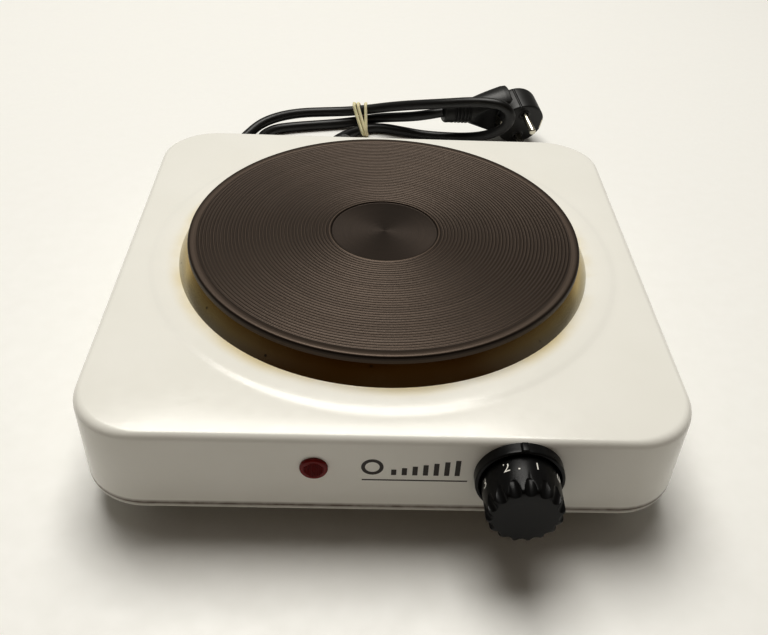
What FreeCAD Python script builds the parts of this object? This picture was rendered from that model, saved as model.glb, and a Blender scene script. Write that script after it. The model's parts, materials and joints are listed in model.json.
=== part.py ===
import FreeCAD, Part

import math
import os
import re

import Sketcher
from FreeCAD import Placement, Rotation, Vector

# Single solid-plate cooking ring: a cast-iron hotplate in a pressed and enamelled steel housing.
# Millimetres. +Z is up, the table is z = 0, the knob faces -Y. The origin is the middle of the
# footprint on the table, with the knob counted in; so the housing sits half the knob's reach behind it.

SIZES = {
    # housing and base
    "housing_width": 251.0,
    "housing_depth": 249.0,
    "wall_height": 40.0,
    "corner_radius": 28.0,
    "top_edge_radius": 3.5,
    "sheet_gauge": 0.8,
    "seam_height": 18.0,
    "base_bottom": 14.4,
    "base_inset": 0.6,
    "seam_gap": 0.3,
    "slot_length": 30.0,
    "slot_width": 4.0,
    "slot_pitch": 11.0,
    # feet and the screws that hold the base
    "foot_x": 98.0,
    "foot_y": 96.0,
    "foot_top_radius": 11.0,
    "foot_bottom_radius": 9.0,
    "foot_step": 8.5,
    "foot_bore": 4.3,
    "screw_radius": 1.9,
    "screw_hole": 2.0,
    "screw_head_radius": 3.4,
    "screw_head": 2.0,
    "tab_y": 62.0,
    "tab_reach": 16.0,
    "tab_width": 14.0,
    "tab_height": 30.0,
    "tab_gauge": 1.2,
    # hotplate and what is clamped under it
    "plate_y": 2.6,
    "plate_radius": 94.0,
    "plate_top": 70.2,
    "plate_edge": 1.4,
    "plate_ledge": 66.6,
    "recess_radius": 25.8,
    "recess_depth": 0.8,
    "skirt_radius": 88.0,
    "skirt_inner": 84.5,
    "skirt_bottom": 55.5,
    "channel_top": 62.0,
    "boss_radius": 26.0,
    "plate_hole": 91.0,
    "ring_radius": 98.9,
    "ring_shoulder": 92.2,
    "ring_inner": 88.6,
    "ring_gauge": 0.6,
    "coil_inner": 36.0,
    "coil_middle": 54.0,
    "coil_outer": 72.0,
    "coil_thickness": 1.9,
    "stud_radius": 2.95,
    "stud_hole": 3.0,
    "stud_bottom": 37.0,
    "bridge_length": 216.0,
    "bridge_width": 22.0,
    "bridge_gauge": 2.0,
    "bridge_top": 48.0,
    "washer_radius": 8.0,
    "washer_gauge": 1.6,
    "stud_nut_radius": 5.77,
    "stud_nut_height": 5.0,
    "earth_x": -60.0,
    "tag_radius": 4.5,
    "tag_gauge": 0.8,
    "tag_tail": 12.0,
    "terminal_y": 35.0,
    "terminal_pitch": 10.0,
    "terminal_length": 34.0,
    "terminal_width": 15.0,
    "terminal_height": 10.0,
    "terminal_screw_radius": 1.5,
    "terminal_head_radius": 2.8,
    "coil_pin_radius": 1.0,
    # thermostat, knob and lamp on the front wall
    "knob_x": 53.0,
    "knob_z": 39.6,
    "knob_reach": 22.0,
    "knob_skirt_radius": 15.6,
    "knob_waist_radius": 15.2,
    "knob_end_radius": 15.0,
    "knob_end_round": 2.5,
    "knob_end_gauge": 2.6,
    "knob_dish": 0.4,
    "knob_gap": 2.3,
    "knob_wall": 1.9,
    "knob_hub": 5.5,
    "hub_setback": 1.5,
    "clip_gauge": 0.7,
    "clip_length": 5.0,
    "clip_slit": 3.0,
    "knob_skirt_length": 11.0,
    "flute_start": 15.0,
    "flute_radius": 2.5,
    "flute_depth": 1.6,
    "flute_count": 16,
    "bezel_radius": 17.75,
    "bezel_inner": 16.2,
    "bezel_depth": 5.0,
    "bezel_web_inner": 15.0,
    "bezel_web_gauge": 0.8,
    "pointer_width": 4.6,
    "pointer_rise": 0.75,
    "spindle_radius": 3.0,
    "spindle_bore": 3.05,
    "spindle_flat": 1.5,
    "thermostat_width": 34.0,
    "thermostat_height": 24.0,
    "thermostat_depth": 20.0,
    "fixing_pitch": 12.0,
    "fixing_radius": 1.5,
    "fixing_hole": 1.6,
    "fixing_head_radius": 2.6,
    "fixing_head": 1.5,
    "cam_radius": 6.0,
    "cam_gauge": 1.6,
    "lamp_x": -28.0,
    "lamp_z": 41.1,
    "lamp_radius": 5.6,
    "lamp_neck": 4.4,
    "lamp_depth": 9.0,
    "bulb_radius": 2.6,
    "lamp_nut_gauge": 2.0,
    # lead, its bush in the rear wall, and the plug
    "cord_radius": 3.5,
    "bush_x": -22.0,
    "bush_z": 31.0,
    "bush_flange": 8.5,
    "bush_neck": 6.0,
    "bush_length": 29.5,
    "bush_tip": 4.5,
    "wire_radius": 1.1,
    "plug_radius": 18.0,
    "plug_depth": 22.0,
    "plug_flat": 16.4,
    "pin_radius": 2.4,
    "pin_length": 19.0,
    "pin_pitch": 19.0,
    "pin_root": 8.0,
    "earth_slot_width": 8.0,
    "earth_slot_depth": 14.0,
    "lead_depth": 17.0,
    "neck_start": 10.0,
    "neck_end": 36.0,
    "neck_width": 29.0,
    "neck_thickness": 18.0,
    "relief_radius": 8.3,
    "relief_end_radius": 7.0,
    "relief_length": 55.0,
    # rubber band round the hank
    "band_width": 9.0,
    "band_depth": 20.0,
    "band_height": 22.0,
    "band_gauge": 1.2,
}
# The housing's middle is this far behind the origin.
SIZES["housing_y"] = SIZES["knob_reach"] / 2

doc = FreeCAD.newDocument("HotPlate")
sheet = doc.addObject("Spreadsheet::Sheet", "Sizes")
for row, (alias, value) in enumerate(SIZES.items(), start=1):
    sheet.set(f"A{row}", str(value))
    sheet.setAlias(f"A{row}", alias)
doc.recompute()

pieces = []

# Places that several pieces share, as sums of the sheet's cells.
FRONT_FACE = "housing_y - housing_depth / 2"
FRONT_INSIDE = "housing_y - housing_depth / 2 + sheet_gauge"
REAR_FACE = "housing_y + housing_depth / 2"
HOUSING_TOP = "seam_height + wall_height"
PLATE_MIDDLE = "housing_y + plate_y"
UPRIGHT = Rotation()
TO_FRONT = Rotation(Vector(1, 0, 0), 90)
TO_REAR = Rotation(Vector(1, 0, 0), -90)


def cells(formula):
    """Point each word of a formula at its cell in the sheet."""
    return re.sub(r"[a-z]\w+", lambda word: "Sizes." + word.group(0), str(formula))


def value(formula):
    """Work a formula out as a number."""
    return float(sheet.evalExpression(cells(formula)))


def bind(item, **formulas):
    """Drive an object's properties from the sheet."""
    for name, formula in formulas.items():
        item.setExpression(name, cells(formula))


def place(item, x, y, z, rotation=UPRIGHT):
    """Stand an object at a place worked out from the sheet."""
    item.Placement = Placement(Vector(0, 0, 0), rotation)
    for axis, formula in (("x", x), ("y", y), ("z", z)):
        item.setExpression("Placement.Base." + axis, cells(formula))


def keep(item):
    """Note an object as one of the finished pieces."""
    pieces.append(item)
    return item


def origin_plane(body, role):
    """One of a body's own origin planes."""
    return next(plane for plane in body.Origin.OriginFeatures if plane.Role == role)


def outline(body, name, role, corners):
    """A closed sketch of straight sides whose corners are formulas, on an origin plane."""
    sketch = body.newObject("Sketcher::SketchObject", name)
    sketch.AttachmentSupport = [(origin_plane(body, role), "")]
    sketch.MapMode = "FlatFace"
    spots = [Vector(value(u), value(v), 0) for u, v in corners]
    for index, spot in enumerate(spots):
        sketch.addGeometry(Part.LineSegment(spot, spots[(index + 1) % len(spots)]), False)
    for index in range(len(spots)):
        sketch.addConstraint(Sketcher.Constraint("Coincident", index, 2, (index + 1) % len(spots), 1))
    for index, (corner, spot) in enumerate(zip(corners, spots)):
        for kind, formula, start in (("DistanceX", corner[0], spot.x), ("DistanceY", corner[1], spot.y)):
            number = sketch.addConstraint(Sketcher.Constraint(kind, -1, 1, index, 1, start))
            constraint = f"{kind}_{index}"
            sketch.renameConstraint(number, constraint)
            sketch.setExpression("Constraints." + constraint, cells(formula))
    return sketch


def turned(label, corners):
    """A body turned about its own Z axis from an outline of (radius, height) corners."""
    body = doc.addObject("PartDesign::Body", label)
    sketch = outline(body, label + "_outline", "XZ_Plane", corners)
    turn = body.newObject("PartDesign::Revolution", label + "_turn")
    turn.Profile = sketch
    turn.ReferenceAxis = (sketch, ["V_Axis"])
    turn.Angle = 360
    doc.recompute()
    return body


def padded(label, corners, thickness):
    """A body padded up from an outline in its own XY plane."""
    body = doc.addObject("PartDesign::Body", label)
    sketch = outline(body, label + "_outline", "XY_Plane", corners)
    pad = body.newObject("PartDesign::Pad", label + "_pad")
    pad.Profile = sketch
    bind(pad, Length=thickness)
    doc.recompute()
    return body


def rectangle(width, depth):
    """Corners of a rectangle about the middle."""
    return [
        (f"-({width}) / 2", f"-({depth}) / 2"),
        (f"({width}) / 2", f"-({depth}) / 2"),
        (f"({width}) / 2", f"({depth}) / 2"),
        (f"-({width}) / 2", f"({depth}) / 2"),
    ]


def rounded(body, name, edges, radius):
    """Fillet some edges of a body's last feature."""
    solid = body.Tip
    fillet = body.newObject("PartDesign::Fillet", name)
    fillet.Base = (solid, edges)
    bind(fillet, Radius=radius)
    doc.recompute()


def edges_where(body, test):
    """Names of a body's edges that pass a test."""
    return [f"Edge{number}" for number, edge in enumerate(body.Shape.Edges, start=1) if test(edge)]


def is_upright(edge):
    """Whether an edge is a straight one along Z."""
    return len(edge.Vertexes) == 2 and edge.BoundBox.XLength < 0.01 and edge.BoundBox.YLength < 0.01


def hollowed(body, name, open_height, gauge):
    """Turn a solid body into a shell that is open on the flat face at one height."""
    face_number = next(
        number
        for number, face in enumerate(body.Shape.Faces, start=1)
        if face.BoundBox.ZLength < 0.01 and abs(face.BoundBox.ZMin - open_height) < 0.01
    )
    solid = body.Tip
    shell = body.newObject("PartDesign::Thickness", name)
    shell.Base = (solid, [f"Face{face_number}"])
    shell.Reversed = True
    bind(shell, Value=gauge)
    doc.recompute()


def block(label, length, width, height, x, y, z):
    """A box whose place is the middle of its lower face."""
    box = doc.addObject("Part::Box", label)
    bind(box, Length=length, Width=width, Height=height)
    place(box, f"{x} - ({length}) / 2", f"{y} - ({width}) / 2", z)
    return box


def rod(label, radius, length, x, y, z, rotation=UPRIGHT):
    """A cylinder that stands on the middle of one end."""
    cylinder = doc.addObject("Part::Cylinder", label)
    bind(cylinder, Radius=radius, Height=length)
    place(cylinder, x, y, z, rotation)
    return cylinder


def fused(label, *parts):
    """Several overlapping solids made one."""
    union = doc.addObject("Part::MultiFuse", label)
    union.Shapes = list(parts)
    union.Refine = True
    return union


def cut(label, base, *tools):
    """A solid less some tools."""
    result = doc.addObject("Part::Cut", label)
    result.Base = base
    result.Tool = tools[0] if len(tools) == 1 else fused(label + "_tools", *tools)
    return result


def together(label, *parts):
    """Separate solids that share one node."""
    group = doc.addObject("Part::Compound", label)
    group.Links = list(parts)
    return group


def shaped(label, shape, placement=None):
    """A piece whose shape is built directly."""
    feature = doc.addObject("Part::Feature", label)
    feature.Shape = shape
    if placement:
        feature.Placement = placement
    return feature


# ---------------------------------------------------------------- housing and base


def make_housing():
    """Deep-drawn steel tray, upside down: rounded corners, open below, pierced for the fittings."""
    blank = padded("housing_blank", rectangle("housing_width", "housing_depth"), "wall_height")
    rounded(blank, "housing_corners", edges_where(blank, is_upright), "corner_radius")
    top = value("wall_height")
    brow_edges = edges_where(blank, lambda edge: edge.BoundBox.ZMin > top - 0.01)
    rounded(blank, "housing_brow", brow_edges, "top_edge_radius")
    hollowed(blank, "housing_gauge", 0.0, "sheet_gauge")
    place(blank, "0", "housing_y", "seam_height")
    half_way = "seam_height + wall_height / 2"
    openings = [rod("plate_opening", "plate_hole", "wall_height", "0", PLATE_MIDDLE, half_way)]
    for name, radius, x, wall, z in (
        ("spindle", "spindle_radius + 1", "knob_x", FRONT_FACE, "knob_z"),
        ("left_fixing", "fixing_hole", "knob_x - fixing_pitch", FRONT_FACE, "knob_z"),
        ("right_fixing", "fixing_hole", "knob_x + fixing_pitch", FRONT_FACE, "knob_z"),
        ("lamp", "lamp_neck + 0.2", "lamp_x", FRONT_FACE, "lamp_z"),
        ("bush", "bush_neck", "bush_x", REAR_FACE, "bush_z"),
    ):
        openings.append(rod(name + "_opening", radius, "10", x, wall + " + 5", z, TO_FRONT))
    keep(cut("housing_shell", blank, *openings))


def corner_places(x, y):
    """The four places mirrored about the housing's middle: a name, x, y and the side for each."""
    for depth_name, depth_side in (("front", -1), ("rear", 1)):
        for width_name, width_side in (("left", -1), ("right", 1)):
            name = f"{depth_name}_{width_name}"
            yield name, f"{width_side} * ({x})", f"housing_y + {depth_side} * ({y})", width_side


def make_base_pan():
    """Shallow steel tray that closes the housing, with vent slots under the element."""
    width = "housing_width - 2 * base_inset"
    depth = "housing_depth - 2 * base_inset"
    blank = padded("base_blank", rectangle(width, depth), "seam_height - seam_gap - base_bottom")
    rounded(blank, "base_corners", edges_where(blank, is_upright), "corner_radius - base_inset")
    rounded(blank, "base_lip", edges_where(blank, lambda edge: edge.BoundBox.ZMax < 0.01), "2 * sheet_gauge")
    hollowed(blank, "base_gauge", value("seam_height - seam_gap - base_bottom"), "sheet_gauge")
    place(blank, "0", "housing_y", "base_bottom")
    slots = [
        block(
            f"vent_{side}_{step}",
            "slot_length",
            "slot_width",
            "3 * sheet_gauge",
            f"{side} * 45",
            f"housing_y + {step} * slot_pitch",
            "base_bottom - sheet_gauge",
        )
        for side in (-1, 1)
        for step in range(-2, 3)
    ]
    screw_holes = [
        rod(f"{set_name}_{name}", "screw_hole", "10", x, y, "base_bottom - 5")
        for set_name, place_x, place_y in (
            ("foot_hole", "foot_x", "foot_y"),
            ("tab_hole", "housing_width / 2 - tab_reach + 4", "tab_y"),
        )
        for name, x, y, _ in corner_places(place_x, place_y)
    ]
    keep(cut("base_pan", blank, *slots, *screw_holes))


def make_side_tabs():
    """Angle tabs welded inside the side walls, which the base screws bite into."""
    tabs = []
    for name, x, y, side in corner_places("housing_width / 2 - tab_reach + 4", "tab_y"):
        wall = f"{side} * (housing_width / 2 - sheet_gauge"
        floor = block(
            "tab_floor_" + name,
            "tab_reach - 3 * sheet_gauge",
            "tab_width",
            "tab_gauge",
            f"{side} * (housing_width / 2 - tab_reach / 2 - 1.5 * sheet_gauge)",
            y,
            "base_bottom + sheet_gauge",
        )
        riser = block(
            "tab_riser_" + name,
            "tab_gauge",
            "tab_width",
            "tab_height - base_bottom - sheet_gauge",
            wall + " - 2 * sheet_gauge - tab_gauge / 2)",
            y,
            "base_bottom + sheet_gauge",
        )
        weld = block(
            "tab_weld_" + name,
            "2 * sheet_gauge",
            "tab_width",
            "tab_height - seam_height - 1",
            wall + " - sheet_gauge)",
            y,
            "seam_height + 1",
        )
        hole = rod("tab_thread_" + name, "screw_hole", "10", x, y, "base_bottom - 2")
        tabs.append(cut("tab_" + name, fused("tab_blank_" + name, floor, riser, weld), hole))
    keep(together("side_tabs", *tabs))


def screw(label, x, y, head_bottom, tip):
    """Pan-head screw that points up, a head and a shank in one."""
    head = rod(label + "_head", "screw_head_radius", "screw_head", x, y, head_bottom)
    shank = rod(label + "_shank", "screw_radius", f"{tip} - ({head_bottom})", x, y, head_bottom)
    return fused(label, head, shank)


def make_feet():
    """Four rubber feet with a counterbore, each with its own screw and nut."""
    screws = []
    nuts = []
    for name, x, y, _ in corner_places("foot_x", "foot_y"):
        foot = turned(
            "foot_" + name,
            [
                ("foot_bore", "0"),
                ("foot_bottom_radius", "0"),
                ("foot_top_radius", "base_bottom"),
                ("screw_hole", "base_bottom"),
                ("screw_hole", "foot_step"),
                ("foot_bore", "foot_step"),
            ],
        )
        place(foot, x, y, "0")
        keep(foot)
        screws.append(screw("foot_screw_" + name, x, y, "foot_step - screw_head", "base_bottom + 6"))
        nut = doc.addObject("Part::Prism", "nut_blank_" + name)
        bind(nut, Circumradius="2 * screw_radius", Height="3.2")
        nut.Polygon = 6
        place(nut, x, y, "base_bottom + sheet_gauge")
        nuts.append(cut("nut_" + name, nut, rod("nut_bore_" + name, "screw_hole", "10", x, y, "base_bottom")))
    keep(together("foot_screws", *screws))
    keep(together("foot_nuts", *nuts))
    keep(
        together(
            "base_screws",
            *[
                screw("base_screw_" + name, x, y, "base_bottom - screw_head", "base_bottom + 7")
                for name, x, y, _ in corner_places("housing_width / 2 - tab_reach + 4", "tab_y")
            ],
        )
    )


# ---------------------------------------------------------------- hotplate


def make_hotplate():
    """Cast-iron plate: shallow middle recess, stepped rim, a channel for the coils and a threaded boss."""
    plate = turned(
        "hotplate",
        [
            ("0", "plate_top - recess_depth"),
            ("recess_radius", "plate_top - recess_depth"),
            ("recess_radius + 0.4", "plate_top"),
            ("plate_radius - plate_edge", "plate_top"),
            ("plate_radius", "plate_top - plate_edge"),
            ("plate_radius", "plate_ledge"),
            ("skirt_radius", "plate_ledge"),
            ("skirt_radius", "skirt_bottom"),
            ("skirt_inner", "skirt_bottom"),
            ("skirt_inner", "channel_top"),
            ("boss_radius", "channel_top"),
            ("boss_radius", "skirt_bottom"),
            ("stud_hole", "skirt_bottom"),
            ("stud_hole", "channel_top + 3"),
            ("0", "channel_top + 3"),
        ],
    )
    place(plate, "0", PLATE_MIDDLE, "0")
    keep(plate)


def make_trim_ring():
    """Thin stainless ring: a flange under the plate's rim and a cone down onto the housing."""
    ring = turned(
        "trim_ring",
        [
            ("ring_inner", "plate_ledge - 0.05"),
            ("ring_shoulder", "plate_ledge - 0.05"),
            ("ring_radius", f"{HOUSING_TOP} + ring_gauge"),
            ("ring_radius", HOUSING_TOP),
            ("ring_radius - ring_gauge", HOUSING_TOP),
            ("ring_shoulder - ring_gauge / 2", "plate_ledge - 0.05 - ring_gauge"),
            ("ring_inner", "plate_ledge - 0.05 - ring_gauge"),
        ],
    )
    place(ring, "0", PLATE_MIDDLE, "0")
    keep(ring)


def make_element():
    """Resistance coils bedded in magnesia in the plate's channel, under a sheet cover."""
    coil_height = "channel_top - 2.8"
    grooves = []
    for name in ("inner", "middle", "outer"):
        for label, thickness, sweep in (
            (f"coil_{name}", "coil_thickness", 336),
            (f"groove_{name}", "coil_thickness + 0.1", 360),
        ):
            ring = doc.addObject("Part::Torus", label)
            bind(ring, Radius1=f"coil_{name}", Radius2=thickness)
            ring.Angle3 = sweep
            place(ring, "0", PLATE_MIDDLE, coil_height, Rotation(Vector(0, 0, 1), -78))
            if sweep == 360:
                grooves.append(ring)
            else:
                keep(ring)
    filling = turned(
        "filling_blank",
        [
            ("boss_radius + 0.2", "skirt_bottom + 0.05"),
            ("skirt_inner - 0.2", "skirt_bottom + 0.05"),
            ("skirt_inner - 0.2", "channel_top - 0.05"),
            ("boss_radius + 0.2", "channel_top - 0.05"),
        ],
    )
    place(filling, "0", PLATE_MIDDLE, "0")
    pin_holes = []
    pins = []
    cover_holes = [rod("stud_way", "stud_hole + 0.4", "10", "0", PLATE_MIDDLE, "skirt_bottom - 5")]
    for step in (-1, 0, 1):
        x = f"{step} * terminal_pitch"
        y = PLATE_MIDDLE + " + terminal_y"
        pin_bottom = "skirt_bottom - sheet_gauge - 2.4"
        pin_length = f"channel_top - 2.8 - coil_thickness - 0.1 - ({pin_bottom})"
        pins.append(rod(f"pin_{step}", "coil_pin_radius", pin_length, x, y, pin_bottom))
        pin_holes.append(rod(f"pin_way_{step}", "coil_pin_radius + 0.1", "5", x, y, "skirt_bottom - 1"))
        cover_holes.append(rod(f"pin_port_{step}", "coil_pin_radius + 0.6", "5", x, y, "skirt_bottom - 3"))
    keep(cut("magnesia_filling", filling, *grooves, *pin_holes))
    keep(together("coil_pins", *pins))
    cover_height = "skirt_bottom - sheet_gauge"
    disc = rod("cover_disc", "skirt_radius - 1", "sheet_gauge", "0", PLATE_MIDDLE, cover_height)
    keep(cut("element_cover", disc, *cover_holes))


def make_clamp():
    """Sheet-steel bridge pulled up against the housing by one stud in the plate's boss."""
    bar = block(
        "bridge_bar", "bridge_length", "bridge_width", "bridge_gauge", "0", PLATE_MIDDLE, "bridge_top - bridge_gauge"
    )
    ends = []
    for side in (-1, 1):
        ends.append(
            block(
                f"bridge_riser_{side}",
                "bridge_gauge",
                "bridge_width",
                f"{HOUSING_TOP} - sheet_gauge - bridge_top",
                f"{side} * (bridge_length - bridge_gauge) / 2",
                PLATE_MIDDLE,
                "bridge_top",
            )
        )
        ends.append(
            block(
                f"bridge_toe_{side}",
                "10",
                "bridge_width",
                "bridge_gauge",
                f"{side} * (bridge_length / 2 - 5)",
                PLATE_MIDDLE,
                f"{HOUSING_TOP} - sheet_gauge - bridge_gauge",
            )
        )
    under = "bridge_top - bridge_gauge"
    stud_way = rod("bridge_stud_way", "stud_hole + 0.3", "20", "0", PLATE_MIDDLE, "bridge_top - 10")
    earth_way = rod("bridge_earth_way", "screw_hole", "20", "earth_x", PLATE_MIDDLE, "bridge_top - 10")
    keep(cut("clamp_bridge", fused("bridge_blank", bar, *ends), stud_way, earth_way))
    keep(rod("plate_stud", "stud_radius", "channel_top + 2 - stud_bottom", "0", PLATE_MIDDLE, "stud_bottom"))
    washer = rod("washer_blank", "washer_radius", "washer_gauge", "0", PLATE_MIDDLE, under + " - washer_gauge")
    washer_bore = rod("washer_bore", "stud_hole + 0.1", "20", "0", PLATE_MIDDLE, "stud_bottom")
    keep(cut("plate_washer", washer, washer_bore))
    nut = doc.addObject("Part::Prism", "plate_nut_blank")
    nut.Polygon = 6
    bind(nut, Circumradius="stud_nut_radius", Height="stud_nut_height")
    place(nut, "0", PLATE_MIDDLE, under + " - washer_gauge - stud_nut_height")
    keep(cut("plate_nut", nut, rod("plate_nut_bore", "stud_hole", "20", "0", PLATE_MIDDLE, "stud_bottom")))
    # The earth wire's ring tag is screwed up against the bridge.
    tag = rod("earth_tag_ring", "tag_radius", "tag_gauge", "earth_x", PLATE_MIDDLE, under + " - tag_gauge")
    tail = block(
        "earth_tag_tail",
        "tag_tail",
        "4",
        "tag_gauge",
        "earth_x - tag_tail / 2",
        PLATE_MIDDLE,
        under + " - tag_gauge",
    )
    tag_hole = rod("earth_tag_hole", "screw_hole", "10", "earth_x", PLATE_MIDDLE, "bridge_top - 8")
    keep(cut("earth_tag", fused("earth_tag_whole", tag, tail), tag_hole))
    keep(screw("earth_screw", "earth_x", PLATE_MIDDLE, under + " - tag_gauge - screw_head", "bridge_top + 2"))


def make_terminal_block():
    """Ceramic block under the cover, where the coil pins meet the wires."""
    y = PLATE_MIDDLE + " + terminal_y"
    bottom = "skirt_bottom - sheet_gauge - terminal_height"
    blank = block("terminal_blank", "terminal_length", "terminal_width", "terminal_height", "0", y, bottom)
    head = "terminal_screw_radius"
    bores = []
    screws = []
    for step in (-1, 0, 1):
        x = f"{step} * terminal_pitch"
        bores.append(rod(f"terminal_bore_{step}", "coil_pin_radius + 0.6", "20", x, y, bottom + " - 5"))
        shank = rod(f"terminal_shank_{step}", "terminal_screw_radius", "8.8", x, y, f"{bottom} - {head}")
        cap = rod(f"terminal_head_{step}", "terminal_head_radius", head, x, y, f"{bottom} - {head}")
        screws.append(fused(f"terminal_screw_{step}", shank, cap))
    keep(cut("terminal_block", blank, *bores))
    keep(together("terminal_screws", *screws))


# ---------------------------------------------------------------- thermostat and knob


def make_thermostat():
    """Ceramic-bodied bimetal control behind the front wall; its spindle carries the knob."""
    bracket = block(
        "bracket_blank",
        "thermostat_width + 6",
        "tab_gauge",
        "thermostat_height + 2",
        "knob_x",
        FRONT_INSIDE + " + tab_gauge / 2",
        "knob_z - thermostat_height / 2 - 1",
    )
    body = block(
        "ceramic_blank",
        "thermostat_width",
        "thermostat_depth",
        "thermostat_height",
        "knob_x",
        FRONT_INSIDE + " + tab_gauge + thermostat_depth / 2",
        "knob_z - thermostat_height / 2",
    )
    fixings = []
    fixing_holes = []
    body_pockets = []
    for side in (-1, 1):
        x = f"knob_x + {side} * fixing_pitch"
        hole_start = FRONT_INSIDE + " + 5"
        pocket_start = FRONT_INSIDE + " + 6.2"
        shank_start = FRONT_FACE + " + 5"
        z = "knob_z"
        fixing_holes.append(rod(f"thread_{side}", "fixing_hole", "10", x, hole_start, z, TO_FRONT))
        body_pockets.append(rod(f"pocket_{side}", "fixing_hole + 0.2", "10", x, pocket_start, z, TO_FRONT))
        head = rod(f"head_{side}", "fixing_head_radius", "fixing_head", x, FRONT_FACE, z, TO_FRONT)
        shank = rod(f"shank_{side}", "fixing_radius", "5 + fixing_head", x, shank_start, z, TO_FRONT)
        fixings.append(fused(f"fixing_{side}", head, shank))
    way = rod("bracket_way", "spindle_radius + 0.5", "10", "knob_x", FRONT_INSIDE + " + 5", "knob_z", TO_FRONT)
    keep(cut("thermostat_bracket", bracket, way, *fixing_holes))
    bore = rod("spindle_way", "spindle_bore", "40", "knob_x", FRONT_INSIDE + " + 30", "knob_z", TO_FRONT)
    keep(cut("thermostat_body", body, bore, *body_pockets))
    keep(together("thermostat_screws", *fixings))
    back = FRONT_INSIDE + " + tab_gauge + thermostat_depth"
    tabs = []
    for side in (-1, 1):
        x = f"knob_x + {side} * 13"
        tabs.append(block(f"tab_terminal_{side}", "0.8", "9", "6.3", x, back + " + 4.5", "knob_z - 9"))
    keep(together("thermostat_terminals", *tabs))
    # The bimetal strip hangs from the body's back and the cam on the spindle faces it.
    foot = block("bimetal_foot", "8", "5", "1", "knob_x", back + " + 2.5", "knob_z - 11.6")
    arm = block("bimetal_arm", "8", "1", "18", "knob_x", back + " + 5", "knob_z - 11.6")
    keep(fused("bimetal_strip", foot, arm))
    blade_foot = block("blade_foot", "6", "7", "0.6", "knob_x", back + " + 3.5", "knob_z + 9")
    blade_arm = block("blade_arm", "6", "0.6", "8", "knob_x", back + " + 7.3", "knob_z + 1.6")
    keep(fused("contact_blade", blade_foot, blade_arm))
    # Spindle with a flat at its front end for the knob.
    length = "thermostat_depth + tab_gauge + sheet_gauge + knob_reach - 6 + 3"
    start = back + " + 3"
    shaft = rod("spindle_blank", "spindle_radius", length, "knob_x", start, "knob_z", TO_FRONT)
    flat = block(
        "spindle_flat_tool",
        "10",
        "12",
        "4",
        "knob_x",
        FRONT_FACE + " - knob_reach + 10",
        "knob_z + spindle_flat",
    )
    keep(cut("spindle", shaft, flat))
    cam = rod("cam_disc", "cam_radius", "cam_gauge", "knob_x", back + " + 2.2", "knob_z", TO_FRONT)
    cam_bore = rod("cam_bore", "spindle_radius", "10", "knob_x", back + " + 6", "knob_z", TO_FRONT)
    keep(cut("thermostat_cam", cam, cam_bore))


def make_bezel():
    """Fixed collar round the knob, with a small raised pointer on top."""
    ring = turned(
        "bezel_ring",
        [
            ("bezel_inner", "0"),
            ("bezel_radius", "0"),
            ("bezel_radius", "bezel_depth - 0.8"),
            ("bezel_radius - 0.6", "bezel_depth"),
            ("bezel_inner", "bezel_depth"),
        ],
    )
    place(ring, "knob_x", FRONT_FACE, "knob_z", TO_FRONT)
    pointer_corners = [
        ("-pointer_width / 2", "-1.4"),
        ("pointer_width / 2", "-1.4"),
        ("pointer_width / 4", "pointer_rise"),
        ("-pointer_width / 4", "pointer_rise"),
    ]
    pointer = padded("pointer", pointer_corners, "bezel_depth")
    place(pointer, "knob_x", FRONT_FACE, "knob_z + bezel_radius", TO_FRONT)
    web_corners = [
        ("bezel_web_inner", "0"),
        ("bezel_radius - 0.5", "0"),
        ("bezel_radius - 0.5", "bezel_web_gauge"),
        ("bezel_web_inner", "bezel_web_gauge"),
    ]
    web = turned("bezel_web", web_corners)
    place(web, "knob_x", FRONT_FACE, "knob_z", TO_FRONT)
    keep(fused("knob_bezel", ring, pointer, web))


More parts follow.
